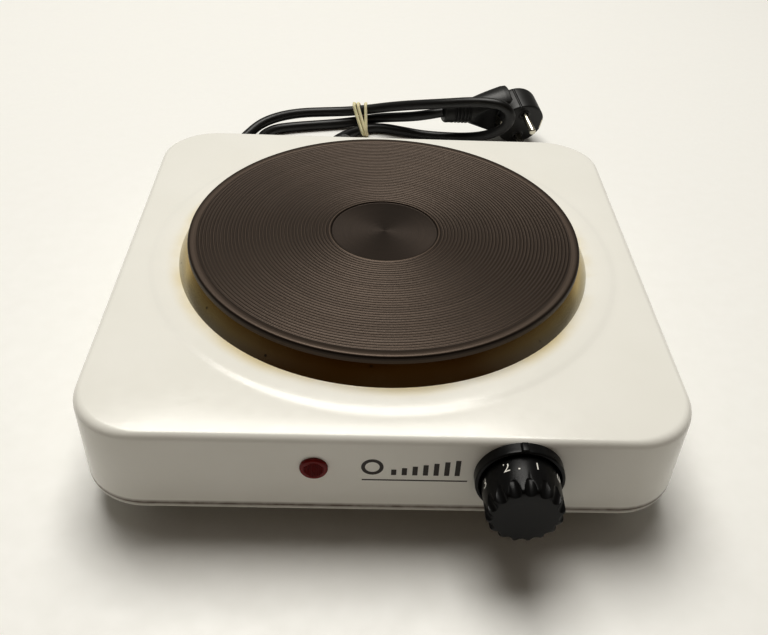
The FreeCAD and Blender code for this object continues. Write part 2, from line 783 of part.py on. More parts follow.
def make_knob():
    """Moulded knob: plain numbered skirt, fluted grip, hollow inside round a D-bored hub."""
    body = turned(
        "knob_blank",
        [
            ("knob_skirt_radius - knob_wall", "knob_gap"),
            ("knob_skirt_radius", "knob_gap"),
            ("knob_waist_radius", "knob_skirt_length"),
            ("knob_end_radius", "knob_reach - knob_end_round"),
            ("knob_end_radius - knob_end_round", "knob_reach"),
            ("0", "knob_reach - knob_dish"),
            ("0", "knob_reach - knob_end_gauge"),
            ("knob_end_radius - 2 * knob_wall", "knob_reach - knob_end_gauge"),
        ],
    )
    sketch = body.newObject("Sketcher::SketchObject", "flute_outline")
    sketch.AttachmentSupport = [(origin_plane(body, "XY_Plane"), "")]
    sketch.MapMode = "FlatFace"
    start = value("knob_waist_radius + flute_radius - flute_depth")
    sketch.addGeometry(Part.Circle(Vector(start, 0, 0), Vector(0, 0, 1), value("flute_radius")), False)
    sketch.addConstraint(Sketcher.Constraint("PointOnObject", 0, 3, -1))
    reach = sketch.addConstraint(Sketcher.Constraint("DistanceX", -1, 1, 0, 3, start))
    girth = sketch.addConstraint(Sketcher.Constraint("Radius", 0, value("flute_radius")))
    sketch.renameConstraint(reach, "flute_reach")
    sketch.renameConstraint(girth, "flute_girth")
    bind(sketch, **{"Constraints.flute_reach": "knob_waist_radius + flute_radius - flute_depth"})
    bind(sketch, **{"Constraints.flute_girth": "flute_radius"})
    sketch.setExpression("AttachmentOffset.Base.z", cells("flute_start"))
    plain_volume = body.Shape.Volume
    flute = body.newObject("PartDesign::Pocket", "flute")
    flute.Profile = sketch
    flute.Reversed = True
    bind(flute, Length="knob_reach")
    doc.recompute()
    pattern = body.newObject("PartDesign::PolarPattern", "flutes")
    pattern.Originals = [flute]
    pattern.Axis = (sketch, ["N_Axis"])
    pattern.Angle = 360
    bind(pattern, Occurrences="flute_count")
    body.Tip = pattern
    doc.recompute()
    print("flutes take", round(plain_volume - body.Shape.Volume, 1), "mm3")
    place(body, "knob_x", FRONT_FACE, "knob_z", TO_FRONT)
    hub_length = "knob_reach - knob_end_gauge - knob_gap - hub_setback"
    hub_back = FRONT_FACE + " - knob_gap - hub_setback"
    hub = rod("hub", "knob_hub", hub_length + " + 0.5", "knob_x", hub_back, "knob_z", TO_FRONT)
    bore = rod("hub_bore", "spindle_radius", hub_length + " - 1.4", "knob_x", hub_back, "knob_z", TO_FRONT)
    key_place = FRONT_FACE + " - knob_reach + 8.4"
    key = block("hub_key", "8", "8", "4", "knob_x", key_place, "knob_z + spindle_flat")
    socket = cut("hub_socket", bore, key)
    keep(cut("knob", fused("knob_whole", body, hub), socket))
    clip_back = hub_back + " - 3"
    clip = rod("clip_blank", "knob_hub + clip_gauge", "clip_length", "knob_x", clip_back, "knob_z", TO_FRONT)
    clip_bore = rod("clip_bore", "knob_hub", "12", "knob_x", hub_back, "knob_z", TO_FRONT)
    clip_slit = block("clip_gap", "clip_slit", "30", "12", "knob_x", hub_back + " - 5", "knob_z - 12")
    keep(cut("knob_spring_clip", clip, clip_bore, clip_slit))


def make_lamp():
    """Neon indicator: red lens through the wall, holder and spring nut behind it, bulb inside."""
    wall = "sheet_gauge"
    lens = turned(
        "lamp_lens",
        [
            ("0", "1.9"),
            ("lamp_radius - 1.6", "1.7"),
            ("lamp_radius - 0.4", "0.9"),
            ("lamp_radius", "0"),
            ("lamp_neck", "0"),
            ("lamp_neck", f"-{wall} - 8"),
            ("lamp_neck - 1", f"-{wall} - 8"),
            ("lamp_neck - 1", "-1"),
            ("0", "-1"),
        ],
    )
    place(lens, "lamp_x", FRONT_FACE, "lamp_z", TO_FRONT)
    keep(lens)
    fittings = {}
    for name, radius, length, back in (
        ("nut_blank", "lamp_neck + 2.6", "lamp_nut_gauge", "lamp_nut_gauge"),
        ("nut_bore", "lamp_neck + 0.05", "9", "lamp_nut_gauge + 4"),
        ("bulb", "bulb_radius", "lamp_depth", "lamp_depth + 2.5"),
        ("cap_blank", "lamp_neck", "lamp_depth", "2 * lamp_depth - 0.8"),
        ("cap_bore", "bulb_radius + 0.1", "6", "lamp_depth + 5"),
    ):
        label = "neon_bulb" if name == "bulb" else "lamp_" + name
        fittings[name] = rod(label, radius, length, "lamp_x", f"{FRONT_INSIDE} + {back}", "lamp_z", TO_FRONT)
    keep(cut("lamp_spring_nut", fittings["nut_blank"], fittings["nut_bore"]))
    keep(fittings["bulb"])
    keep(cut("lamp_holder", fittings["cap_blank"], fittings["cap_bore"]))


# ---------------------------------------------------------------- wires and lead


def smooth_path(points):
    """Straight runs joined by tangent arcs, each as large as its two runs allow; also the radii."""
    edges = []
    radii = []
    start = points[0]
    for before, corner, after in zip(points, points[1:], points[2:]):
        into = corner.sub(before)
        onward = after.sub(corner)
        turn = into.getAngle(onward)
        setback = 0.45 * min(into.Length, onward.Length)
        radius = setback / math.tan(turn / 2)
        radii.append(radius)
        into.normalize()
        onward.normalize()
        arc_start = corner.sub(into.multiply(setback))
        arc_end = corner.add(onward.multiply(setback))
        toward_middle = arc_start.add(arc_end).multiply(0.5).sub(corner)
        middle_distance = radius / math.cos(turn / 2) - radius
        arc_middle = corner.add(toward_middle.normalize().multiply(middle_distance))
        edges.append(Part.LineSegment(start, arc_start).toShape())
        edges.append(Part.Arc(arc_start, arc_middle, arc_end).toShape())
        start = arc_end
    edges.append(Part.LineSegment(start, points[-1]).toShape())
    return Part.Wire(edges), radii


def tube(label, points, radius):
    """A round solid along a smooth path, checked against its section times its length."""
    path, radii = smooth_path(points)
    heading = points[1].sub(points[0])
    section = Part.Wire(Part.Circle(points[0], heading, radius).toShape())
    shape = path.makePipeShell([section], True, True)
    expected = math.pi * radius**2 * path.Length
    smallest = min(radii) if radii else 0.0
    print(label, "length", round(path.Length, 1), "smallest radius", round(smallest, 1))
    print("  radii", [round(radius_there, 1) for radius_there in radii])
    print("  volume", round(shape.Volume, 1), "of", round(expected, 1))
    return keep(shaped(label, shape))


def at(x, y, z):
    """A point given from the housing's middle, at a height above the table."""
    return Vector(x, y + value("housing_y"), z)


def make_bush():
    """Moulded bush in the rear wall: two flanges grip the steel and a tapered, grooved sleeve follows."""
    corners = [
        ("cord_radius", "-4"),
        ("bush_flange", "-4"),
        ("bush_flange", "-sheet_gauge"),
        ("bush_neck", "-sheet_gauge"),
        ("bush_neck", "0"),
        ("bush_flange", "0"),
        ("bush_flange", "2.5"),
        ("bush_neck + 0.6", "2.5"),
    ]
    ribs = 6
    for rib in range(ribs):
        fraction = (rib + 1) / ribs
        radius = f"bush_neck + 0.6 - {fraction} * (bush_neck + 0.6 - bush_tip)"
        height = f"2.5 + {fraction} * (bush_length - 2.5)"
        if rib < ribs - 1:
            corners += [
                (radius, height + " - 1.6"),
                (radius + " - 0.9", height + " - 1.6"),
                (radius + " - 0.9", height),
                (radius, height),
            ]
    corners += [("bush_tip", "bush_length"), ("cord_radius", "bush_length")]
    bush = turned("cord_bush", corners)
    place(bush, "bush_x", REAR_FACE, "bush_z", TO_REAR)
    keep(bush)


def make_wires():
    """The lead's inner end and the single insulated wires inside the housing."""
    rear = value("housing_depth") / 2
    bush_x = value("bush_x")
    bush_z = value("bush_z")
    knob_x = value("knob_x")
    plate_y = value("plate_y")
    inner_end = at(bush_x, rear - 20, bush_z)
    keep(
        shaped(
            "cord_inner_end",
            Part.makeCylinder(value("cord_radius"), value("bush_length") + 20, inner_end, Vector(0, 1, 0)),
        )
    )
    wire = value("wire_radius")
    back = -value("housing_depth") / 2 + value("sheet_gauge + tab_gauge + thermostat_depth") + 9
    tab_z = value("knob_z") - 9 + 3
    block_bottom = value("skirt_bottom - sheet_gauge") - 12.4
    tube(
        "wire_live",
        [
            at(bush_x + 1.5, rear - 20.4, bush_z + 1.2),
            at(bush_x + 3, 80, bush_z),
            at(16, 30, 25),
            at(64, -30, 25),
            at(knob_x + 13, -72, 30),
            at(knob_x + 13, back + 0.1, tab_z),
        ],
        wire,
    )
    tube(
        "wire_neutral",
        [
            at(bush_x - 1.6, rear - 20.4, bush_z + 1.2),
            at(bush_x - 6, 84, bush_z + 3),
            at(-16, 62, 30),
            at(-10.5, plate_y + value("terminal_y") + 1, 32),
            at(-10, plate_y + value("terminal_y"), block_bottom),
        ],
        wire,
    )
    tube(
        "wire_earth",
        [
            at(bush_x - 0.2, rear - 20.4, bush_z - 1.9),
            at(bush_x - 12, 78, bush_z - 6),
            at(-68, 50, 24),
            at(-92, 20, 32),
            at(-84, plate_y + 1, 42.5),
            at(-70, plate_y, value("bridge_top - bridge_gauge") - 1.8),
        ],
        wire * 0.9,
    )
    tube(
        "wire_switched",
        [
            at(knob_x - 13, back + 0.1, tab_z),
            at(knob_x - 13, -76, 32),
            at(22, -40, 26),
            at(12, 4, 26),
            at(10.5, 30, 32),
            at(10, plate_y + value("terminal_y"), block_bottom),
        ],
        wire,
    )
    lamp_back = -value("housing_depth") / 2 + value("sheet_gauge") + 17.5
    lamp_x = value("lamp_x")
    lamp_z = value("lamp_z")
    tube(
        "wire_lamp",
        [
            at(lamp_x, lamp_back, lamp_z),
            at(lamp_x + 1, -86, lamp_z - 5),
            at(-20, -56, 27),
            at(-6, -20, 26),
            at(-1, 16, 31),
            at(0, plate_y + value("terminal_y"), block_bottom),
        ],
        wire * 0.8,
    )


# The free lead as far as the hank: hand-chosen points from the housing's middle.
LEAD_POINTS = [
    (-22, 154, 31),
    (-22, 166, 31),
    (-23, 181, 26),
    (-27, 196, 16),
    (-32, 210, 7),
    (-30, 222, 3.5),
    (-22, 232, 3.5),
    (-14, 239, 3.5),
]


# Plans of the hank: its turn flat on the table at the left, its middle run, and its raised loop.
LEFT_TURN = [(-72, 217), (-91, 232), (-102, 222), (-110, 204), (-110, 168), (-94, 154), (-66, 154), (-53, 167)]
LEFT_TURN += [(-54, 192)]
LEFT_RUN = [(-5, 237), (-5, 256), (-58, 256), (-76, 248), (-92, 236), (-80, 218), (-70, 231), (-40, 239)]
RIGHT_LOOP = [(-10, 237), (20, 233), (66, 222), (78, 205), (96, 205), (96, 214), (84, 225), (60, 236)]
RIGHT_LOOP += [(36, 244), (12, 254), (-10, 256)]


def make_lead():
    """The free lead, and one plain solid for the hank that it is folded into."""
    tube("cord_lead", [at(*point) for point in LEAD_POINTS], value("cord_radius"))
    prisms = []
    for plan, height in ((LEFT_TURN, 7), (LEFT_RUN, 19), (RIGHT_LOOP, 45)):
        corners = [at(x, y, 0) for x, y in plan]
        face = Part.Face(Part.makePolygon(corners + corners[:1]))
        prisms.append(face.extrude(Vector(0, 0, height)))
    hank = prisms[0].fuse(prisms[1:]).removeSplitter()
    keep(shaped("cord_hank", hank.Solids[0]))
    # The rubber band goes once round the bundle where all its runs lie together.
    gauge = value("band_gauge")
    width = value("band_width")
    depth = value("band_depth")
    height = value("band_height")
    band = Part.makeBox(width, depth, height, at(-17, 237, 0))
    inside = Part.makeBox(width, depth - 2 * gauge, height - 2 * gauge, at(-17, 237 + gauge, gauge))
    keep(shaped("rubber_band", band.cut(inside)))


def make_plug():
    """Angled earthed plug: a round face across the pins, the lead leaving at right angles to them."""
    pin_way = Vector(0.233, -0.936, -0.263)
    lead_way = Vector(-0.966, -0.254, 0.05)
    face_middle = at(103.2, 226.5, 17.5)
    turn = Rotation(lead_way, Vector(), pin_way, "ZXY")
    stance = Placement(face_middle, turn)
    radius = value("plug_radius")
    depth = value("plug_depth")
    flat = value("plug_flat")
    up = Vector(0, 0, 1)
    out = Vector(1, 0, 0)
    drum = Part.makeCylinder(radius, depth, Vector(0, 0, -depth), up)
    drum = drum.common(Part.makeBox(2 * flat, 2 * radius, depth, Vector(-flat, -radius, -depth)))
    # A wide flat neck narrows from the drum to the round relief.
    lead_depth = value("lead_depth")
    neck_start = value("neck_start")
    neck_end = value("neck_end")
    neck_length = neck_end - neck_start
    width = value("neck_width")
    thickness = value("neck_thickness")
    relief_radius = value("relief_radius")
    neck = Part.makeCone(width / 2, relief_radius, neck_length, Vector(neck_start, 0, -lead_depth), out)
    slab_corner = Vector(neck_start, -width / 2, -lead_depth - thickness / 2)
    neck = neck.common(Part.makeBox(neck_length, width, thickness, slab_corner))
    relief_length = value("relief_length") - neck_end
    relief_start = Vector(neck_end, 0, -lead_depth)
    relief = Part.makeCone(relief_radius, value("relief_end_radius"), relief_length, relief_start, out)
    body = drum.fuse([neck, relief])
    pin_radius = value("pin_radius")
    pitch = value("pin_pitch")
    root = value("pin_root")
    slot_width = value("earth_slot_width")
    slot_depth = value("earth_slot_depth")
    for side in (-1, 1):
        hole = Part.makeCylinder(pin_radius, root, Vector(0, side * pitch / 2, -root), up)
        slot_corner = Vector(side * flat - 1, -slot_width / 2, -slot_depth)
        slot = Part.makeBox(2, slot_width, slot_depth, slot_corner)
        body = body.cut(hole).cut(slot)
    keep(shaped("plug_body", body.removeSplitter().Solids[0], stance))
    pins = []
    contacts = []
    for side in (-1, 1):
        pin_start = Vector(0, side * pitch / 2, -root)
        pin = Part.makeCylinder(pin_radius, value("pin_length") + root, pin_start, up)
        end_edges = [edge for edge in pin.Edges if edge.BoundBox.ZMin > value("pin_length") - 0.01]
        pins.append(pin.makeFillet(pin_radius * 0.45, end_edges))
        contact_corner = Vector(side * (flat - 0.5) - 0.4, 0.2 - slot_width / 2, 0.2 - slot_depth)
        contacts.append(Part.makeBox(0.8, slot_width - 0.4, slot_depth - 0.4, contact_corner))
    keep(shaped("plug_pins", Part.makeCompound(pins), stance))
    keep(shaped("plug_earth_contacts", Part.makeCompound(contacts), stance))


make_housing()
make_base_pan()
make_side_tabs()
make_feet()
make_hotplate()
make_trim_ring()
make_element()
make_clamp()
make_terminal_block()
make_thermostat()
make_bezel()
make_knob()
make_lamp()
make_bush()
make_wires()
make_lead()
make_plug()
doc.recompute()

for item in doc.Objects:
    if "Invalid" in item.State or "Error" in item.State:
        raise RuntimeError(item.Name + " failed to build")
for piece in pieces:
    if piece.Shape.isNull() or not piece.Shape.isValid():
        raise RuntimeError(piece.Label + " has no valid shape")

os.makedirs("parts", exist_ok=True)
for piece in pieces:
    piece.Shape.exportStep(f"parts/{piece.Label}.step")
print(len(pieces), "pieces")
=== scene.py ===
import json
import math

import bmesh
import bpy
from mathutils import Matrix, Vector


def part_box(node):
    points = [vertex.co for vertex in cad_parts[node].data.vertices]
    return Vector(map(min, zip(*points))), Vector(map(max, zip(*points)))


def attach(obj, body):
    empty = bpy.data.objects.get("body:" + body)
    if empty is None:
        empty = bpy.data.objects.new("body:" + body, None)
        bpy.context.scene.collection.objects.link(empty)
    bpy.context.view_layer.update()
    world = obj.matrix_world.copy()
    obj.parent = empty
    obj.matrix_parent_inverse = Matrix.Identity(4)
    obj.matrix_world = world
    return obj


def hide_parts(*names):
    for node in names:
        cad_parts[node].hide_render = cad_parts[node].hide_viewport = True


# The looks of a single solid-plate cooking ring. The scene is in metres, in the model's own frame: +Z is
# up, the table is z = 0 and the knob faces -Y. Sizes of pieces are millimetres, times MM where used.

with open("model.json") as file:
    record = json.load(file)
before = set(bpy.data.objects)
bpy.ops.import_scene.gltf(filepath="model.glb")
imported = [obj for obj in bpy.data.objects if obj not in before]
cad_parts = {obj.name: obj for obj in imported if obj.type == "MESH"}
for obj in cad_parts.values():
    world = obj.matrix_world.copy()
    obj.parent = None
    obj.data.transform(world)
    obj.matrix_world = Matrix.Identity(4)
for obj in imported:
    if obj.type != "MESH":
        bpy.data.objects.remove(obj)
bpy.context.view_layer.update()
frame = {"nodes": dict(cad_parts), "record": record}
bpy.ops.object.select_all(action="DESELECT")

MM = 0.001
UP = Vector((0, 0, 1))
FORWARD = Vector((0, -1, 0))
QUARTER_TURN = math.radians(90)


def middle_of(node):
    """The middle of a CAD node's box."""
    low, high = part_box(node)
    return (low + high) / 2


housing_low, housing_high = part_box("housing_shell")
HOUSING = middle_of("housing_shell")
HOUSING_TOP = housing_high.z
HOUSING_WIDTH = housing_high.x - housing_low.x
HOUSING_DEPTH = housing_high.y - housing_low.y
FRONT_FACE = housing_low.y
SEAM_HEIGHT = housing_low.z
PLATE = middle_of("hotplate")
PLATE_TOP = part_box("hotplate")[1].z
RING_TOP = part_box("trim_ring")[1].z
KNOB = middle_of("knob")
LAMP = middle_of("lamp_lens")
BUSH = middle_of("cord_bush")


# ---------------------------------------------------------------- camera, light and floor


def add_camera():
    """A camera in front of the hob and above it, turned a little to its right and tilted."""
    place = (-0.01244, -0.34436, 0.30289)
    pan = Matrix.Rotation(math.radians(-2.281), 4, "Z")
    look_down = Matrix.Rotation(math.radians(90 - 38.769), 4, "X")
    roll = Matrix.Rotation(math.radians(2.748), 4, "Z")
    lens = bpy.data.cameras.new("camera")
    lens.sensor_width = 36
    lens.lens = 41.05
    lens.clip_start = 0.01
    camera = bpy.data.objects.new("camera", lens)
    bpy.context.scene.collection.objects.link(camera)
    camera.matrix_world = Matrix.Translation(place) @ pan @ look_down @ roll
    bpy.context.scene.camera = camera


def add_light(name, size, power, place, aim, colour):
    """A square soft light that faces a point."""
    lamp = bpy.data.lights.new(name, "AREA")
    lamp.size = size
    lamp.energy = power
    lamp.color = linear(colour)[:3]
    light = bpy.data.objects.new(name, lamp)
    bpy.context.scene.collection.objects.link(light)
    light.location = place
    light.rotation_euler = (Vector(aim) - Vector(place)).to_track_quat("-Z", "Y").to_euler()


def linear(code):
    """An sRGB hex colour as the renderer's linear red, green, blue and alpha."""
    colour = []
    for start in (0, 2, 4):
        channel = int(code[start : start + 2], 16) / 255
        if channel <= 0.04045:
            colour.append(channel / 12.92)
        else:
            colour.append(((channel + 0.055) / 1.055) ** 2.4)
    return colour + [1.0]


def add_floor():
    """A plain pale laminate table."""
    bpy.ops.object.select_all(action="DESELECT")
    bpy.ops.mesh.primitive_plane_add(size=6, location=(0, 0, 0))
    floor = bpy.context.object
    floor.name = "floor"
    table = moulded("white_laminate_table", "F8F8F6", "F2F2EF", 0.5, 3, 0.02)
    floor.data.materials.append(table)


def add_room():
    """A room that is pale above and behind, and dim and brown in front of the hob."""
    world = bpy.data.worlds.new("studio")
    world.use_nodes = True
    world.node_tree.nodes.clear()
    look_way = add_node(world, "TexCoord")
    behind = add_node(world, "VectorMath", {0: look_way, 1: (0, 1, 0.5)}, operation="DOT_PRODUCT")
    share = add_node(world, "MapRange", {"Value": behind, "From Min": -0.4, "From Max": 0.6})
    brown = linear("6E4C1E")
    pale = linear("E9E6DE")
    sky = add_node(world, "Mix", {"Factor": share, "A": brown, "B": pale}, data_type="RGBA")
    background = add_node(world, "Background", {"Color": sky, "Strength": 0.3})
    add_node(world, "OutputWorld", {"Surface": background})
    bpy.context.scene.world = world


# ---------------------------------------------------------------- materials


def new_material(name, **sockets):
    """An empty material whose shader starts from a real finish's typical values."""
    material = bpy.data.materials.new(name)
    material.use_nodes = True
    shader = material.node_tree.nodes["Principled BSDF"]
    for socket, setting in sockets.items():
        shader.inputs[socket.replace("_", " ")].default_value = setting
    return material


def output_of(item):
    """A node's output, or the first one in use where it has several."""
    return next(output for output in item.outputs if output.enabled)


def add_node(material, kind, inputs=None, **settings):
    """Add one shader node; each input, by its name or number, takes a value or another node's output."""
    tree = material.node_tree
    item = tree.nodes.new("ShaderNode" + kind)
    for name, setting in settings.items():
        setattr(item, name, setting)
    for name, source in (inputs or {}).items():
        if isinstance(name, int):
            socket = item.inputs[name]
        else:
            socket = next(socket for socket in item.inputs if socket.enabled and socket.name == name)
        if isinstance(source, bpy.types.Node):
            tree.links.new(output_of(source), socket)
        else:
            socket.default_value = source
    return item


def drive(material, **sources):
    """Link nodes to the shader's own sockets."""
    shader = material.node_tree.nodes["Principled BSDF"]
    for socket, source in sources.items():
        material.node_tree.links.new(output_of(source), shader.inputs[socket.replace("_", " ")])


def per_metre(size):
    """A texture's scale for detail of one size in millimetres."""
    return 1 / (size * MM)


def place_on_piece(material, middle=(0, 0, 0), scale=(1, 1, 1)):
    """Object coordinates about a point, squeezed along the axes."""
    spot = add_node(material, "TexCoord")
    shift = [-along * squeeze for along, squeeze in zip(middle, scale)]
    moved = add_node(material, "Mapping", {"Scale": scale, "Location": shift})
    material.node_tree.links.new(spot.outputs["Object"], moved.inputs["Vector"])
    return moved


def distance_out(material, middle):
    """How far a point is from an upright axis, in metres."""
    flat = place_on_piece(material, middle, (1, 1, 0))
    return add_node(material, "VectorMath", {"Vector": flat}, operation="LENGTH")


def height_from(material, level):
    """How far a point is above or below a level, in metres."""
    upright = place_on_piece(material, (0, 0, level), (0, 0, 1))
    return add_node(material, "VectorMath", {"Vector": upright}, operation="LENGTH")


def vitreous_enamel():
    """Glass enamel fired on pressed steel: white, glossy, faintly rippled, browned by heat and grease."""
    material = new_material("white_vitreous_enamel_on_steel", Roughness=0.16, IOR=1.52)
    where = place_on_piece(material)
    cloud = add_node(material, "TexNoise", {"Vector": where, "Scale": per_metre(40), "Detail": 4.0})
    fine = add_node(material, "TexNoise", {"Vector": where, "Scale": per_metre(5), "Detail": 5.0})
    # Cooked-on yellow halo that fades outwards from the trim ring.
    out = distance_out(material, PLATE)
    halo_start = 98 * MM
    halo_end = 106 * MM
    halo = add_node(
        material,
        "MapRange",
        {"Value": out, "From Min": halo_start, "From Max": halo_end, "To Min": 0.62, "To Max": 0.0},
        interpolation_type="SMOOTHSTEP",
    )
    patchy = add_node(material, "MapRange", {"Value": cloud, "From Min": 0.35, "From Max": 0.65})
    stain = add_node(material, "Math", {0: halo, 1: patchy}, operation="MULTIPLY")
    white = linear("F4F3EE")
    ivory = linear("ECEBE4")
    clean = add_node(material, "Mix", {"Factor": cloud, "A": white, "B": ivory}, data_type="RGBA")
    yellow = linear("D9C37E")
    stained = add_node(material, "Mix", {"Factor": stain, "A": clean, "B": yellow}, data_type="RGBA")
    # Brown grime in the seam between the housing and the base.
    away = height_from(material, SEAM_HEIGHT)
    seam = add_node(
        material,
        "MapRange",
        {"Value": away, "From Min": 0.3 * MM, "From Max": 2.2 * MM, "To Min": 0.95, "To Max": 0.0},
    )
    dirty = add_node(material, "MapRange", {"Value": fine, "From Min": 0.3, "From Max": 0.6, "To Min": 0.75})
    grime = add_node(material, "Math", {0: seam, 1: dirty}, operation="MULTIPLY")
    brown = linear("5A4632")
    colour = add_node(material, "Mix", {"Factor": grime, "A": stained, "B": brown}, data_type="RGBA")
    gloss = add_node(material, "MapRange", {"Value": fine, "To Min": 0.1, "To Max": 0.28})
    ripple = add_node(material, "TexNoise", {"Vector": where, "Scale": per_metre(3), "Detail": 1.0})
    bump = add_node(material, "Bump", {"Height": ripple, "Strength": 0.08, "Distance": 0.3 * MM})
    drive(material, Base_Color=colour, Roughness=gloss, Normal=bump)
    return material


def turned_cast_iron():
    """Grey iron, turned on a lathe and blackened by heat: brown-black, paler on its worn ridges."""
    material = new_material(
        "grey_cast_iron_turned_and_blackened", Metallic=0.6, Roughness=0.4, Anisotropic=0.5
    )
    where = place_on_piece(material)
    out = distance_out(material, PLATE)
    # Lathe marks are finer than they show, so they are drawn 0.5 mm apart.
    rings = add_node(
        material, "TexNoise", {"W": out, "Scale": per_metre(0.5), "Detail": 2.0}, noise_dimensions="1D"
    )
    cloud = add_node(material, "TexNoise", {"Vector": where, "Scale": per_metre(30), "Detail": 6.0})
    grain = add_node(material, "TexNoise", {"Vector": where, "Scale": per_metre(0.8), "Detail": 3.0})
    # Ridges are worn paler, and the grooves between them stay dark.
    height = height_from(material, PLATE_TOP - 1 * MM)
    worn = add_node(
        material, "MapRange", {"Value": height, "From Min": 0.6 * MM, "From Max": 1.0 * MM, "To Max": 0.8}
    )
    black = linear("2B221B")
    brown = linear("3A2F26")
    grey = linear("4C4036")
    dark = add_node(material, "Mix", {"Factor": cloud, "A": black, "B": brown}, data_type="RGBA")
    ridge = add_node(material, "Mix", {"Factor": worn, "A": dark, "B": grey}, data_type="RGBA")
    colour = add_node(
        material, "Mix", {"Factor": 0.3, "A": ridge, "B": rings}, data_type="RGBA", blend_type="OVERLAY"
    )
    gloss = add_node(material, "MapRange", {"Value": rings, "To Min": 0.32, "To Max": 0.5})
    marks = add_node(material, "Bump", {"Height": rings, "Strength": 0.4, "Distance": 0.06 * MM})
    bump = add_node(
        material, "Bump", {"Height": grain, "Normal": marks, "Strength": 0.3, "Distance": 0.08 * MM}
    )
    # The lathe's marks run round the plate, which stretches its highlights into wedges.
    around = add_node(material, "Tangent", direction_type="RADIAL", axis="Z")
    drive(material, Base_Color=colour, Roughness=gloss, Normal=bump, Tangent=around)
    return material


def heated_stainless():
    """Spun stainless steel, straw and brown next to the plate where it runs hot, silver at its rim."""
    material = new_material("spun_stainless_steel_heat_tinted", Metallic=1.0, Roughness=0.2)
    where = place_on_piece(material)
    out = distance_out(material, PLATE)
    cloud = add_node(material, "TexNoise", {"Vector": where, "Scale": per_metre(25), "Detail": 3.0})
    wander = add_node(material, "MapRange", {"Value": cloud, "To Min": -1.5 * MM, "To Max": 1.5 * MM})
    shifted = add_node(material, "Math", {0: out, 1: wander}, operation="ADD")
    hot_edge = 91 * MM
    cool_edge = 99 * MM
    heat = add_node(material, "MapRange", {"Value": shifted, "From Min": hot_edge, "From Max": cool_edge})
    tint = add_node(material, "ValToRGB", {"Fac": heat})
    ramp = tint.color_ramp
    ramp.elements[0].color = linear("8C6C3A")
    ramp.elements[1].color = linear("C9C4B4")
    for place, code in ((0.25, "B89A5A"), (0.55, "CDBA88")):
        ramp.elements.new(place).color = linear(code)
    # Spinning marks are finer than they show, so they are drawn 0.3 mm apart.
    rings = add_node(
        material, "TexNoise", {"W": out, "Scale": per_metre(0.3), "Detail": 2.0}, noise_dimensions="1D"
    )
    # Burnt specks about a millimetre across, some 9 mm apart.
    speck = add_node(material, "TexVoronoi", {"Vector": where, "Scale": per_metre(9)})
    burnt = add_node(
        material,
        "MapRange",
        {"Value": speck, "From Min": 0.05, "From Max": 0.09, "To Min": 0.8, "To Max": 0.0},
    )
    soot = linear("2A1C10")
    colour = add_node(material, "Mix", {"Factor": burnt, "A": tint, "B": soot}, data_type="RGBA")
    gloss = add_node(material, "MapRange", {"Value": cloud, "To Min": 0.1, "To Max": 0.3})
    bump = add_node(material, "Bump", {"Height": rings, "Strength": 0.12, "Distance": 0.03 * MM})
    drive(material, Base_Color=colour, Roughness=gloss, Normal=bump)
    return material


def moulded(name, code, worn_code, roughness, grain, depth, **sockets):
    """A moulded plastic or rubber: one colour, a little uneven, with its mould's fine grain."""
    material = new_material(name, Roughness=roughness, **sockets)
    where = place_on_piece(material)
    cloud = add_node(material, "TexNoise", {"Vector": where, "Scale": per_metre(12), "Detail": 5.0})
    fine = add_node(material, "TexNoise", {"Vector": where, "Scale": per_metre(grain), "Detail": 3.0})
    colour = add_node(
        material, "Mix", {"Factor": cloud, "A": linear(code), "B": linear(worn_code)}, data_type="RGBA"
    )
    gloss = add_node(
        material, "MapRange", {"Value": cloud, "To Min": roughness * 0.7, "To Max": roughness * 1.3}
    )
    bump = add_node(material, "Bump", {"Height": fine, "Strength": 0.35, "Distance": depth * MM})
    drive(material, Base_Color=colour, Roughness=gloss, Normal=bump)
    return material


def metal(name, code, dull_code, roughness, grain):
    """A worked metal: patchy tarnish and fine scratches drawn long one way."""
    material = new_material(name, Metallic=1.0, Roughness=roughness)
    where = place_on_piece(material)
    drawn = place_on_piece(material, scale=(1, 0.12, 1))
    cloud = add_node(material, "TexNoise", {"Vector": where, "Scale": per_metre(8), "Detail": 5.0})
    scratch = add_node(material, "TexNoise", {"Vector": drawn, "Scale": per_metre(grain), "Detail": 4.0})
    colour = add_node(
        material, "Mix", {"Factor": cloud, "A": linear(code), "B": linear(dull_code)}, data_type="RGBA"
    )
    gloss = add_node(
        material, "MapRange", {"Value": scratch, "To Min": roughness * 0.6, "To Max": roughness * 1.5}
    )
    bump = add_node(material, "Bump", {"Height": scratch, "Strength": 0.2, "Distance": 0.03 * MM})
    drive(material, Base_Color=colour, Roughness=gloss, Normal=bump)
    return material


